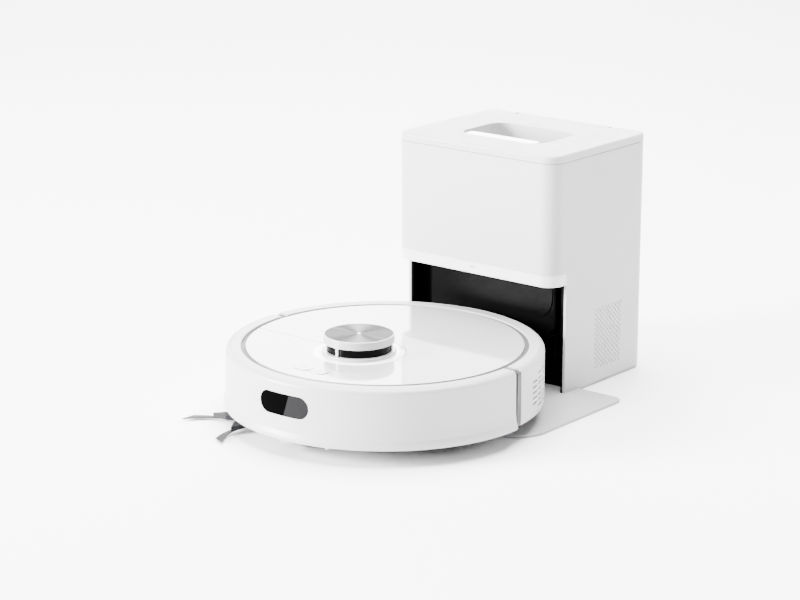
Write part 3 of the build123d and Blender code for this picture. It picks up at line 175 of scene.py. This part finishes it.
def moulded(name, color, roughness, grain=0.15, drift=0.985, **settings):
    """Moulded plastic: spark-eroded grain, slight flow waviness and uneven sheen."""
    shade = Shader(name, color, roughness, **settings)
    shade.tint(shade.noise(9, 2), drift)
    shade.rough(shade.noise(60, 4), roughness * 0.85, roughness * 1.15)
    waves = shade.bump(shade.noise(14, 1), 0.05, 0.0004)
    shade.relief(shade.bump(shade.noise(2600, 2), grain, 0.00006, waves))
    return shade.material


def glossy(name, color, roughness=0.06, wave=0.02, **settings):
    """Polished plastic: a clear coat over colour, with faint smears and sink marks."""
    shade = Shader(name, color, roughness, Coat_Weight=0.6, Coat_Roughness=0.03, **settings)
    shade.tint(shade.noise(7, 2), 0.99)
    shade.rough(shade.noise(35, 5, 0.6), roughness * 0.7, roughness * 1.5)
    shade.relief(shade.bump(shade.noise(12, 1), wave, 0.0003))
    return shade.material


def metal(name, color, roughness, stretch=(1, 1, 60), **settings):
    """Drawn or plated metal with fine directional marks."""
    shade = Shader(name, color, roughness, Metallic=1.0, **settings)
    lines = shade.noise(40, 4, 0.6, stretch)
    shade.rough(lines, roughness * 0.75, roughness * 1.3)
    shade.relief(shade.bump(lines, 0.12, 0.0001))
    return shade.material


def rubber(name, color, roughness=0.75, **settings):
    """Matt rubber or fibre with a fine uneven surface."""
    shade = Shader(name, color, roughness, **settings)
    shade.tint(shade.noise(50, 5), 0.8)
    shade.rough(shade.noise(120, 4), roughness * 0.9, min(1.0, roughness * 1.15))
    shade.relief(shade.bump(shade.noise(1800, 3), 0.3, 0.0001))
    return shade.material


def brushed_disc(centre):
    """Spun aluminium: fine circular lines and the fan-shaped glints they give, and a painted highlight
    at the turned centre: a bright spot in a dull ring.
    """
    lines_scale, centre_radius = 3200, 4.5 * MM
    bright, dull = (0.9, 0.9, 0.9), (0.2, 0.2, 0.2)
    shade = Shader("spun_aluminium", (0.08, 0.08, 0.082), 0.5, Metallic=1.0, Anisotropic=0.95)
    mapping = shade.add("ShaderNodeMapping")
    mapping.inputs["Location"].default_value = (-centre.x, -centre.y, 0)
    shade.join(shade.place, mapping.inputs["Vector"])
    split = shade.add("ShaderNodeSeparateXYZ")
    shade.join(mapping.outputs["Vector"], split.inputs["Vector"])
    squares = []
    for axis in ("X", "Y"):
        square = shade.add("ShaderNodeMath", operation="MULTIPLY")
        shade.join(split.outputs[axis], square.inputs[0])
        shade.join(split.outputs[axis], square.inputs[1])
        squares.append(square.outputs[0])
    total = shade.add("ShaderNodeMath", operation="ADD")
    shade.join(squares[0], total.inputs[0])
    shade.join(squares[1], total.inputs[1])
    radius = shade.add("ShaderNodeMath", operation="SQRT")
    shade.join(total.outputs[0], radius.inputs[0])
    lines = shade.add("ShaderNodeTexNoise", noise_dimensions="1D")
    lines.inputs["Scale"].default_value = lines_scale
    lines.inputs["Detail"].default_value = 3
    shade.join(radius.outputs[0], lines.inputs["W"])
    shade.rough(lines.outputs["Fac"], 0.44, 0.54)
    # Painted highlight: the base colour is bright within the centre spot and dull in a ring round it.
    stops = ((0.0, bright), (0.35, bright), (0.5, dull), (0.62, shade.color))
    centre_painted_glint = shade.spread(radius.outputs[0], 0, 1, 0, centre_radius)
    shade.paint(shade.ramp(centre_painted_glint, stops))
    shade.relief(shade.bump(lines.outputs["Fac"], 0.25, 0.00005))
    tangent = shade.add("ShaderNodeCombineXYZ")
    flipped = shade.add("ShaderNodeMath", operation="MULTIPLY")
    flipped.inputs[1].default_value = -1
    shade.join(split.outputs["Y"], flipped.inputs[0])
    shade.join(flipped.outputs[0], tangent.inputs["X"])
    shade.join(split.outputs["X"], tangent.inputs["Y"])
    unit = shade.add("ShaderNodeVectorMath", operation="NORMALIZE")
    shade.join(tangent.outputs["Vector"], unit.inputs[0])
    shade.join(unit.outputs["Vector"], shade.bsdf.inputs["Tangent"])
    return shade.material


def painted_reflection_window():
    """Smoked window, near black, with a painted reflection: grey on one side of a leaning line."""
    line_offset, line_softness = 4.5 * MM, 0.1 * MM
    # The grey half is a painted reflection of a bright studio panel; the window itself is near black.
    painted_reflection_grey = (0.014, 0.014, 0.0147)
    shade = Shader("painted_reflection_window", (0.0004, 0.0004, 0.0004), 0.2, Specular_IOR_Level=0.003)
    lean = Vector((1, 0, -0.317))
    line = (middle_of("sensor_window") + Vector((line_offset, 0, 0))).dot(lean)
    dot = shade.add("ShaderNodeVectorMath", operation="DOT_PRODUCT")
    dot.inputs[1].default_value = lean
    shade.join(shade.place, dot.inputs[0])
    side = shade.spread(dot.outputs["Value"], 0, 1, line - line_softness, line + line_softness)
    shade.paint(shade.ramp(side, ((0.0, shade.color), (1.0, painted_reflection_grey))))
    shade.relief(shade.bump(shade.noise(14, 1), 0.03, 0.0003))
    return shade.material


def dress(material, *names):
    """Gives CAD nodes a material."""
    for name in names:
        for material_slot in nodes[name].material_slots:
            material_slot.material = material


WHITE = (0.43, 0.43, 0.435)
NEAR_BLACK = (0.001, 0.001, 0.0011)

white_shell = moulded("satin_white_plastic", WHITE, 0.42, grain=0.12)
robot_white = glossy("gloss_white_plastic", (0.44, 0.44, 0.445), 0.10)
dress(white_shell, "tower_shell", "side_grilles", "dock_lid")
# Painted highlight: the carry bar is the dock's white plastic, given a much lighter copy of it (0.93)
# for the light it catches.
dress(glossy("painted_highlight_gloss_white", (0.93, 0.93, 0.93), 0.05), "carry_bar")
# Painted light: the chin's gloss white is set lighter than the shell's white (0.60 against 0.43) for the
# brightness it shows at the front.
dress(glossy("chin_gloss_white_painted_lighter", (0.60, 0.60, 0.60), 0.06), "front_chin")
dress(moulded("satin_robot_plastic", WHITE, 0.36, grain=0.1), "bumper", "rear_shell")
dress(robot_white, "front_deck", "flip_lid", "turret_frame", "turret_cap")
dress(robot_white, "power_button", "home_button")
dress(moulded("groove_grey_plastic", (0.07, 0.07, 0.072), 0.5), "top_frame")
dress(moulded("strip_grey_plastic", (0.05, 0.05, 0.052), 0.5), "side_strips")
bay_black = moulded("bay_black_plastic", NEAR_BLACK, 0.35, 0.04, Specular_IOR_Level=0.012)
dress(bay_black, "bay_liner", "bay_hood")
dress(moulded("base_grey_plastic", (0.33, 0.33, 0.335), 0.6, grain=0.4), "base_plate")
window_black = moulded("window_black", NEAR_BLACK, 0.2, 0.02, Specular_IOR_Level=0.04)
dress(window_black, "turret_window")
dress(painted_reflection_window(), "sensor_window")
dress(brushed_disc(middle_of("turret_disc")), "turret_disc")
dress(rubber("black_rubber", (0.02, 0.02, 0.02)), "base_pads", "dust_seal")
dress(rubber("tyre_rubber", (0.03, 0.03, 0.03), 0.85), "left_tyre", "right_tyre")
dark_plastic = moulded("dark_plastic", (0.025, 0.025, 0.027), 0.6, grain=0.3, Specular_IOR_Level=0.2)
dress(dark_plastic, "dust_duct", "bag_bin", "dock_impeller", "power_inlet", "range_rotor")
dress(dark_plastic, "left_hub", "right_hub", "left_arm", "right_arm", "caster_fork")
dress(dark_plastic, "brush_guard", "fan_impeller", "side_brush_hub")
dress(moulded("underside_plastic", (0.36, 0.36, 0.365), 0.5, grain=0.3), "chassis", "caster_wheel")
steel = metal("plain_steel", (0.55, 0.55, 0.56), 0.3)
dress(steel, "dock_screws", "robot_screws", "lid_hinge_pins", "flip_lid_pins")
dress(steel, "dock_motor", "fan_motor")
gold = metal("gold_plate", (0.85, 0.66, 0.35), 0.2)
dress(gold, "charge_pin_left", "charge_pin_right", "charge_plates")
dress(moulded("status_lens", (0.30, 0.32, 0.34), 0.25), "status_lens")
filter_paper = moulded("filter_paper", (0.46, 0.455, 0.43), 0.9, grain=0.8)
dress(filter_paper, "exhaust_filter", "dustbin_filter")
dress(moulded("bag_paper", (0.42, 0.385, 0.32), 0.9, grain=0.9), "dust_bag")
dress(rubber("fin_rubber", (0.06, 0.06, 0.065), 0.6), "main_brush")
dress(rubber("bristle", (0.10, 0.10, 0.105), 0.6), "side_brush_bristles")
dress(glossy("smoked_bin", (0.05, 0.052, 0.058), 0.12), "dustbin")
dress(moulded("cell_wrap", (0.03, 0.04, 0.07), 0.3), "battery")
dress(moulded("board_green", (0.02, 0.10, 0.045), 0.4), "main_board")
clear_bracket = moulded("clear_bracket", (0.45, 0.455, 0.46), 0.3, Transmission_Weight=0.25)
dress(clear_bracket, "mop_bracket")
dress(rubber("mop_cloth", (0.11, 0.115, 0.125), 0.95), "mop_pad")

# ------------------------------------------------------------------------------------
# Shapes shared by the pieces
# ------------------------------------------------------------------------------------
joints = {joint["name"]: joint for joint in frame["joints"]}
node_slots = {part["node"]: part["material_slot"] for part in frame["record"]["subparts"]}


def pivot(joint):
    """The point on a hinge's axis that the record gives."""
    return Vector(joints[joint]["pos_m"])


def add_piece(name, points, faces, material, body, slot_name, smooth=True):
    """Makes a mesh piece that moves with a CAD body."""
    mesh = bpy.data.meshes.new(name)
    mesh.from_pydata([tuple(point) for point in points], [], faces)
    mesh.validate()
    mesh.update()
    mesh.materials.append(material)
    for polygon in mesh.polygons:
        polygon.use_smooth = smooth
    piece = bpy.data.objects.new(name, mesh)
    bpy.context.scene.collection.objects.link(piece)
    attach(piece, body)
    return piece


def in_mm(profile):
    """A profile of (radius, height) pairs in millimetres, in metres."""
    return [(radius * MM, height * MM) for radius, height in profile]


def turned(profile, centre, axis=2, count=48):
    """A profile of (radius, height) pairs turned about Y (1) or Z (2), as points and faces."""
    points, faces = [], []
    for step in range(count):
        turn = 2 * math.pi * step / count
        for radius, height in profile:
            flat = (radius * math.cos(turn), radius * math.sin(turn))
            point = {1: (flat[1], height, flat[0]), 2: (*flat, height)}[axis]
            points.append(centre + Vector(point))
    rows = len(profile)
    for step in range(count):
        this, after = step * rows, (step + 1) % count * rows
        for row in range(rows - 1):
            faces.append((this + row, after + row, after + row + 1, this + row + 1))
    return points, faces


def tubed(path, radius, closed=False, sides=8, flatten=1.0):
    """A tube along a path. flatten squeezes it along the direction nearest to vertical."""
    count = len(path)
    points, faces = [], []
    for index, point in enumerate(path):
        before = path[index - 1] if closed or index else path[0]
        after = path[(index + 1) % count] if closed or index < count - 1 else path[-1]
        along = (after - before).normalized()
        up = Vector((0, 0, 1)) if abs(along.z) < 0.9 else Vector((1, 0, 0))
        side = along.cross(up).normalized()
        up = side.cross(along)
        width = radius[index] if isinstance(radius, list) else radius
        for corner in range(sides):
            turn = 2 * math.pi * corner / sides
            points.append(point + side * width * math.cos(turn) + up * width * flatten * math.sin(turn))
    for index in range(count if closed else count - 1):
        this, after = index * sides, (index + 1) % count * sides
        for corner in range(sides):
            turn = (corner + 1) % sides
            faces.append((this + corner, this + turn, after + turn, after + corner))
    if not closed:
        faces.append(tuple(range(sides)))
        faces.append(tuple((count - 1) * sides + corner for corner in reversed(range(sides))))
    return points, faces


def joined(*shapes):
    """Several (points, faces) shapes as one."""
    points, faces = [], []
    for more_points, more_faces in shapes:
        start = len(points)
        points.extend(more_points)
        faces.extend(tuple(index + start for index in face) for face in more_faces)
    return points, faces


def rounded_loop(low, high, corner, height, arc=8):
    """Points round a level rounded rectangle."""
    loop = []
    centres = (
        (high.x - corner, high.y - corner, 0),
        (low.x + corner, high.y - corner, 90),
        (low.x + corner, low.y + corner, 180),
        (high.x - corner, low.y + corner, 270),
    )
    for x, y, start in centres:
        for step in range(arc + 1):
            turn = math.radians(start + 90 * step / arc)
            loop.append(Vector((x + corner * math.cos(turn), y + corner * math.sin(turn), height)))
    return loop


STEPS_PER_COIL = 14


def coil(start, end, radius, turns, wire):
    """A compression spring between two points of any line that doesn't run along X."""
    along = end - start
    axis = along.normalized()
    side = axis.cross(Vector((1, 0, 0))).normalized()
    other = axis.cross(side)
    steps = int(turns * STEPS_PER_COIL)
    path = []
    for step in range(steps + 1):
        turn = 2 * math.pi * turns * step / steps
        spoke = side * math.cos(turn) + other * math.sin(turn)
        path.append(start + along * step / steps + spoke * radius)
    return tubed(path, wire, sides=6)


# ------------------------------------------------------------------------------------
# Side brush tufts: strands that sweep back and flare to an oblique cut
# ------------------------------------------------------------------------------------
TUFTS = 5
STRANDS = 44
STRAND_STEPS = 10
FIRST_TUFT = 208  # degrees
TUFT_ROOT = 30 * MM
ROOT_WIDTH, TIP_FLARE, FLARE_POWER = 2.4 * MM, 12.0 * MM, 1.4
OBLIQUE_CUT, CUT_JITTER = 9 * MM, 0.8
BOW, BOW_SHARE, BACKSWEEP = 7 * MM, 0.55, 3.0 * MM
LAYER, DROOP = 0.35, 0.12 * MM
STRAND_THICK, STRAND_TAPER = 0.36, 0.08


def build_tufts(material):
    low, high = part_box("side_brush_bristles")
    centre = pivot("side_brush_spin")
    reach = max(high.x - centre.x, centre.x - low.x, high.y - centre.y, centre.y - low.y)
    level = (low.z + high.z) / 2
    chance = random.Random(4)
    shapes = []
    for tuft in range(TUFTS):
        start = math.radians(FIRST_TUFT + 360 / TUFTS * tuft)
        for strand in range(STRANDS):
            share = strand / (STRANDS - 1)
            layer = (strand % 3 - 1) * LAYER * MM
            length = reach - OBLIQUE_CUT * (1 - share) - chance.uniform(0, CUT_JITTER) * MM
            path, widths = [], []
            for step in range(STRAND_STEPS + 1):
                along = step / STRAND_STEPS
                radius = TUFT_ROOT + (length - TUFT_ROOT) * along
                spread = (share - 0.5) * (ROOT_WIDTH + TIP_FLARE * along**FLARE_POWER)
                bend = BOW * math.sin(math.pi * along) * BOW_SHARE - BACKSWEEP * along
                drop = layer - DROOP * along
                offset = spread - bend
                path.append(
                    Vector((
                        centre.x + radius * math.cos(start) - offset * math.sin(start),
                        centre.y + radius * math.sin(start) + offset * math.cos(start),
                        level + drop,
                    ))
                )
                widths.append((STRAND_THICK - STRAND_TAPER * along) * MM)
            shapes.append(tubed(path, widths, sides=5))
    slot_name = node_slots["side_brush_bristles"]
    piece = add_piece("side_brush_tufts", *joined(*shapes), material, "side_brush", slot_name)
    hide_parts("side_brush_bristles")


# ------------------------------------------------------------------------------------
# Soft parts: the mop cloth and the dust bag
# ------------------------------------------------------------------------------------
def soft_copy(name, node, voxel, material):
    """A fine even mesh of a CAD node, to be shaped as cloth, that stands for it."""
    piece = nodes[node].copy()
    piece.data = nodes[node].data.copy()
    piece.name = piece.data.name = name
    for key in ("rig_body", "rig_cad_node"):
        if key in piece:
            del piece[key]
    piece.parent = None
    bpy.context.scene.collection.objects.link(piece)
    piece.matrix_world = Matrix.Identity(4)
    remesh = piece.modifiers.new("even", "REMESH")
    remesh.mode = "VOXEL"
    remesh.voxel_size = voxel
    graph = bpy.context.evaluated_depsgraph_get()
    mesh = bpy.data.meshes.new_from_object(piece.evaluated_get(graph))
    piece.modifiers.clear()
    piece.data = mesh
    mesh.name = name
    mesh.materials.clear()
    mesh.materials.append(material)
    for polygon in mesh.polygons:
        polygon.use_smooth = True
    return piece


def settle(piece, low, high):
    """Keeps a soft piece inside its CAD node's box."""
    for vertex in piece.data.vertices:
        for axis in range(3):
            vertex.co[axis] = min(max(vertex.co[axis], low[axis]), high[axis])
    piece.data.update()


def build_mop_cloth(material):
    """A looped cloth: uneven lumps over ribs that run from front to back."""
    voxel, rib_pitch, rib_depth, sink = 0.0021, 0.0085, 0.14 * MM, 0.35 * MM
    low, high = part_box("mop_pad")
    piece = soft_copy("mop_cloth", "mop_pad", voxel, material)
    for vertex in piece.data.vertices:
        place = vertex.co
        lump = noise.noise(place * 160) * 0.25 * MM + noise.noise(place * 55) * 0.35 * MM
        ribs = math.sin(place.x * 2 * math.pi / rib_pitch) * rib_depth
        vertex.co += vertex.normal * (lump + ribs - sink)
    settle(piece, low, high)
    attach(piece, "robot")
    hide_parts("mop_pad")


def build_dust_bag(material):
    """A filled paper bag, creased all over and folded in at its two gussets."""
    voxel, gusset_width = 0.004, 0.16
    low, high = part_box("dust_bag")
    centre = (low + high) / 2
    half = (high - low) / 2
    piece = soft_copy("paper_bag", "dust_bag", voxel, material)
    for vertex in piece.data.vertices:
        place = vertex.co
        rise = (place.z - low.z) / (high.z - low.z)
        crease = abs(noise.noise(Vector((place.x * 22, place.y * 22, place.z * 9))))
        wrinkle = noise.noise(place * 60)
        fold = math.exp(-(((place.y - centre.y) / (gusset_width * half.y)) ** 2))
        gusset = fold * abs(place.x - centre.x) / half.x
        sink = 1.0 + 5.5 * crease + 0.9 * wrinkle + 7.0 * gusset * math.sin(math.pi * rise)
        vertex.co -= vertex.normal * sink * MM
    settle(piece, low, high)
    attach(piece, "dock")
    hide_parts("dust_bag")


# ------------------------------------------------------------------------------------
# Small parts on the dock
# ------------------------------------------------------------------------------------
def build_lid_gasket(material):
    """The seal under the lid, round the mouth of the bag bin."""
    thick, corner, lift = 1.05 * MM, 14 * MM, 1.1 * MM
    low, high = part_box("bag_bin")
    inset = Vector((1.0, 1.0, 0)) * MM
    path = rounded_loop(low + inset, high - inset, corner, high.z + lift, 10)
    add_piece("lid_gasket", *tubed(path, thick, True, 10), material, "lid", node_slots["dust_seal"])


def build_seam_shadow_line(material):
    """A thin dark bead in the seam under the lid, along its front and sides: a painted shadow line
    standing for the shade in the seam's gap.
    """
    low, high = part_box("dock_lid")
    thick, corner, arc = 0.32 * MM, 18.5 * MM, 10
    seam = high.z - 8.85 * MM
    sunk = 0.08 * MM
    inset = Vector((sunk, sunk, 0))
    loop = rounded_loop(low + inset, high - inset, corner - sunk, seam, arc)
    path = loop[2 * arc + 1:] + loop[:1]
    add_piece("lid_seam_shadow_line", *tubed(path, thick), material, "lid", node_slots["side_strips"])


def build_pin_springs(material, cup_material):
    """The spring and the cup behind each charging pin."""
    for side in ("left", "right"):
        low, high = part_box(f"charge_pin_{side}")
        back = Vector(((low.x + high.x) / 2, high.y, (low.z + high.z) / 2))
        start, end = back + Vector((0, -1.0, 0)) * MM, back + Vector((0, 7, 0)) * MM
        spring = coil(start, end, 2.2 * MM, 6, 0.3 * MM)
        add_piece(f"pin_spring_{side}", *spring, material, "dock", node_slots["dock_screws"])
        outside = [(0.1, 9), (3.6, 9), (4.2, 8.6), (4.2, 3.4), (3.9, 3.0)]
        inside = [(3.5, 3.0), (3.3, 3.3), (3.3, 7.4), (0.1, 7.4)]
        cup = turned(in_mm(outside + inside), back, 1, 32)
        add_piece(f"pin_cup_{side}", *cup, cup_material, "dock", node_slots["dust_duct"])


# ------------------------------------------------------------------------------------
# Small parts on the robot
# ------------------------------------------------------------------------------------
def build_collar_ring_and_painted_glow(material):
    """The raised ring round the turret's foot, made wide and in the lighter white: a thin real ring with
    a painted highlight for the glow round the turret.
    """
    foot_low, foot_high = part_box("turret_frame")
    centre = (foot_low + foot_high) / 2
    centre.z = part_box("front_deck")[1].z
    inner = (foot_high.x - foot_low.x) / 2 + 0.2 * MM
    # The outer radius takes in the painted highlight glow, wider than the real ring.
    outer = 49.3 * MM
    profile = [
        (inner, -0.1 * MM), (inner, 0.12 * MM), (inner + 0.3 * MM, 0.2 * MM),
        (outer - 0.5 * MM, 0.2 * MM), (outer, 0.02 * MM), (outer, -0.1 * MM),
    ]
    ring = turned(profile, centre, 2, 128)
    add_piece("collar_ring_painted_glow", *ring, material, "robot", node_slots["front_deck"])


def build_button_marks(material):
    """Plain generic marks: an open ring with a bar, and a small house."""
    line, ring_radius, ring_start, ring_turn, ring_steps = 0.34 * MM, 2.7, 125, 290, 24
    ring = []
    for step in range(ring_steps + 1):
        turn = math.radians(ring_start + ring_turn * step / ring_steps)
        ring.append((ring_radius * math.cos(turn), ring_radius * math.sin(turn)))
    bar = ((0, 0.6), (0, 2.2), (0, 3.8))
    roof = ((-3.4, 0.4), (0, 3.5), (3.4, 0.4))
    walls = ((-2.3, 0.6), (-2.3, -2.8), (2.3, -2.8), (2.3, 0.6))
    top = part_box("power_button")[1].z
    for name, button, drawn in (
        ("power_mark", "power_button", (ring, bar)),
        ("home_mark", "home_button", (roof, walls)),
    ):
        centre = middle_of(button)
        shapes = []
        for stroke in drawn:
            path = [Vector((centre.x + x * MM, centre.y + y * MM, top)) for x, y in stroke]
            shapes.append(tubed(path, line, sides=8, flatten=0.35))
        add_piece(name, *joined(*shapes), material, button, node_slots["side_strips"])


def build_range_drive(motor_material, belt_material):
    """The motor and the belt that turn the range finder, under the front deck."""
    axis = pivot("range_spin")
    pulley = Vector((axis.x, axis.y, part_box("range_rotor")[0].z + 1.5 * MM))
    motor = pulley + Vector((25, 0, 0)) * MM
    can = [(0.1, -13), (5.2, -13), (6.0, -12.2), (6.0, -3.4), (5.2, -2.6), (1.2, -2.6)]
    wheel = [(1.2, -1.2), (2.6, -1.2), (3.0, -0.8), (2.5, -0.3)]
    wheel += [(2.5, 0.3), (3.0, 0.8), (2.6, 1.2), (0.1, 1.2)]
    shape = turned(in_mm(can + wheel), motor, 2, 32)
    add_piece("range_motor", *shape, motor_material, "robot", node_slots["fan_motor"])
    loop, wrap = [], 164
    for centre, radius, start, steps in ((pulley, 9.6, 98, 24), (motor, 3.1, -82, 12)):
        for step in range(steps + 1):
            turn = math.radians(start + wrap * step / steps)
            loop.append(centre + Vector((math.cos(turn), math.sin(turn), 0)) * radius * MM)
    belt = tubed(loop, 0.5 * MM, True, 8)
    add_piece("range_belt", *belt, belt_material, "robot", node_slots["dust_seal"])


def build_floor_sensors(lens_material, ring_material):
    """Drop sensors round the front edge of the underside."""
    low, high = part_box("chassis")
    centre = (low + high) / 2
    radius = (high.x - low.x) / 2 - 21 * MM
    bezel = [(5.6, 0.3), (5.6, -0.5), (5.2, -0.9), (4.3, -0.9), (4.0, -0.5), (4.0, 0.3)]
    lens = [(4.0, -0.2), (3.0, -0.45), (1.6, -0.6), (0.05, -0.65)]
    for index, angle in enumerate((232, 252, 288, 318)):
        turn = math.radians(angle)
        across, along = radius * math.cos(turn), radius * math.sin(turn)
        place = Vector((centre.x + across, centre.y + along, low.z))
        for name, profile, material, slot_name in (
            ("sensor_bezel", bezel, ring_material, node_slots["dust_duct"]),
            ("sensor_lens", lens, lens_material, node_slots["turret_window"]),
        ):
            shape = turned(in_mm(profile), place, 2, 32)
            add_piece(f"{name}_{index + 1}", *shape, material, "robot", slot_name)


def ring_sector(profile, centre, start, end, count=10):
    """A closed profile of (radius, height) pairs swept round Z between two angles."""
    points, faces = [], []
    rows = len(profile)
    for step in range(count + 1):
        turn = start + (end - start) * step / count
        for radius, height in profile:
            across, along = radius * math.cos(turn), radius * math.sin(turn)
            points.append(Vector((centre.x + across, centre.y + along, height)))
    for step in range(count):
        this, after = step * rows, (step + 1) * rows
        for row in range(rows):
            above = (row + 1) % rows
            faces.append((this + row, after + row, after + above, this + above))
    faces.append(tuple(reversed(range(rows))))
    faces.append(tuple(count * rows + row for row in range(rows)))
    return points, faces


def build_strip_facings(material):
    """The soft facing of the two side strips, nearly flush with the shells beside it."""
    first_angle, last_angle = 93.15, 95.25  # degrees from the front
    step_in, round_off = 3.4 * MM, 2.4 * MM
    strips_low, strips_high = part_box("side_strips")
    bumper_low, bumper_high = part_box("bumper")
    centre = Vector((0, bumper_low.y + bumper_high.x, 0))
    inner = strips_high.x + 0.05 * MM
    outer = bumper_high.x - step_in
    foot, head = strips_low.z + 3.2 * MM, strips_high.z - 0.5 * MM
    profile = [(inner, foot), (outer - 0.6 * MM, foot), (outer, foot + 0.6 * MM)]
    for step in range(7):
        turn = math.radians(90 * step / 6)
        profile.append((
            outer - round_off + round_off * math.cos(turn), head - round_off + round_off * math.sin(turn)
        ))
    profile.append((inner, head))
    shapes = []
    for side in (-1, 1):
        start, end = (math.radians(-90 + side * angle) for angle in (first_angle, last_angle))
        shapes.append(ring_sector(profile, centre, min(start, end), max(start, end)))
    slot_name = node_slots["side_strips"]
    add_piece("strip_facings", *joined(*shapes), material, "robot", slot_name, smooth=False)


def build_grille_mesh(material):
    """Dark filter mesh behind the pierced side panels of the dock."""
    low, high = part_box("side_grilles")
    wall, thick, corner = 3.0 * MM, 0.5 * MM, 7 * MM
    middle_y, middle_z = (low.y + high.y) / 2, (low.z + high.z) / 2
    half = Vector(((high.y - low.y) / 2 - MM, (high.z - low.z) / 2 - MM, 0))
    shapes = []
    for side in (-1, 1):
        near = side * (high.x - wall - 0.1 * MM)
        points, faces = [], []
        for depth in (near, near - side * thick):
            for point in rounded_loop(-half, half, corner, 0, 6):
                points.append(Vector((depth, middle_y + point.x, middle_z + point.y)))
        ring = len(points) // 2
        for index in range(ring):
            after = (index + 1) % ring
            faces.append((index, after, ring + after, ring + index))
        faces.append(tuple(reversed(range(ring))))
        faces.append(tuple(ring + index for index in range(ring)))
        shapes.append((points, faces))
    slot_name = node_slots["exhaust_filter"]
    add_piece("grille_mesh", *joined(*shapes), material, "dock", slot_name, smooth=False)


def build_arm_springs(material):
    """The coil springs that push the wheel arms down."""
    least_height = 8 * MM
    for side in ("left", "right"):
        low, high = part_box(f"{side}_arm")
        axis = pivot(f"{side}_suspension")
        across = (low.x + high.x) / 2
        foot = Vector((across, axis.y + 26 * MM, high.z + 0.4 * MM))
        head = Vector((across, axis.y + 24 * MM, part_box("chassis")[1].z - 4.5 * MM))
        if head.z - foot.z > least_height:
            shape = coil(foot, head, 3.4 * MM, 7, 0.5 * MM)
            add_piece(f"{side}_arm_spring", *shape, material, "robot", node_slots["dock_screws"])


# ------------------------------------------------------------------------------------
# Stage, lights and camera
# ------------------------------------------------------------------------------------
FLOOR_SIZE = 14.0
FLOOR_DROP = 0.0004
SKY_STRENGTH = 0.12
AZIMUTH = math.radians(39.412)
PITCH = math.radians(15.552)
DISTANCE = 2.673
LENS = 109.68
LOOK_OFFSET = Vector((-0.020, -0.025, -0.022))


def build_stage():
    floor_mesh = bpy.data.meshes.new("floor")
    cells = bmesh.new()
    bmesh.ops.create_grid(cells, x_segments=2, y_segments=2, size=FLOOR_SIZE / 2)
    cells.to_mesh(floor_mesh)
    cells.free()
    floor = bpy.data.objects.new("floor", floor_mesh)
    floor.location.z = -FLOOR_DROP
    bpy.context.scene.collection.objects.link(floor)
    shade = Shader("floor_white", (0.93, 0.93, 0.93), 0.6)
    shade.rough(shade.noise(3, 2), 0.55, 0.65)
    floor_mesh.materials.append(shade.material)


def area_light(name, place, aim, size, power, shape_y=None):
    data = bpy.data.lights.new(name, "AREA")
    data.energy = power
    data.shape = "RECTANGLE"
    data.size = size
    data.size_y = shape_y or size
    light = bpy.data.objects.new(name, data)
    light.location = place
    light.rotation_euler = (aim - Vector(place)).to_track_quat("-Z", "Y").to_euler()
    bpy.context.scene.collection.objects.link(light)


def build_lights(middle):
    area_light("key", (-2.5, -3.2, 1.25), middle, 1.6, 1450)
    area_light("top", (-0.2, 0.3, 3.2), middle, 3.2, 950)
    area_light("side", (2.3, 2.2, 1.2), middle, 1.2, 45, 2.0)
    area_light("back", (-2.6, 2.9, 1.3), middle, 3.4, 260, 1.6)
    world = bpy.data.worlds.new("studio")
    world.use_nodes = True
    sky = world.node_tree.nodes["Background"]
    sky.inputs["Color"].default_value = (1, 1, 1, 1)
    sky.inputs["Strength"].default_value = SKY_STRENGTH
    bpy.context.scene.world = world


def build_camera(middle):
    target = middle + LOOK_OFFSET
    away = Vector((
        math.sin(AZIMUTH) * math.cos(PITCH), -math.cos(AZIMUTH) * math.cos(PITCH), math.sin(PITCH)
    ))
    data = bpy.data.cameras.new("camera")
    data.lens = LENS
    camera = bpy.data.objects.new("camera", data)
    camera.location = target + away * DISTANCE
    camera.rotation_euler = (-away).to_track_quat("-Z", "Y").to_euler()
    bpy.context.scene.collection.objects.link(camera)
    bpy.context.scene.camera = camera


# The carry bar's lighter white, a painted highlight, reused for the turret collar.
painted_highlight_white = nodes["carry_bar"].data.materials[0]
black_rubber = nodes["dust_seal"].data.materials[0]
strip_grey = nodes["side_strips"].data.materials[0]
build_tufts(rubber("bristle_grey", (0.07, 0.07, 0.072), 0.7, Specular_IOR_Level=0.2))
build_mop_cloth(rubber("mop_fibre", (0.10, 0.105, 0.115), 0.95))
build_dust_bag(nodes["dust_bag"].data.materials[0])
build_lid_gasket(black_rubber)
build_seam_shadow_line(strip_grey)
build_pin_springs(steel, dark_plastic)
build_collar_ring_and_painted_glow(painted_highlight_white)
build_button_marks(moulded("mark_grey", (0.34, 0.34, 0.345), 0.4))
build_range_drive(steel, black_rubber)
build_floor_sensors(window_black, dark_plastic)
build_arm_springs(steel)
build_strip_facings(strip_grey)
build_grille_mesh(dark_plastic)

low, high = (Vector(corner) for corner in cad_box)
middle = (low + high) / 2
build_stage()
build_lights(middle)
build_camera(middle)
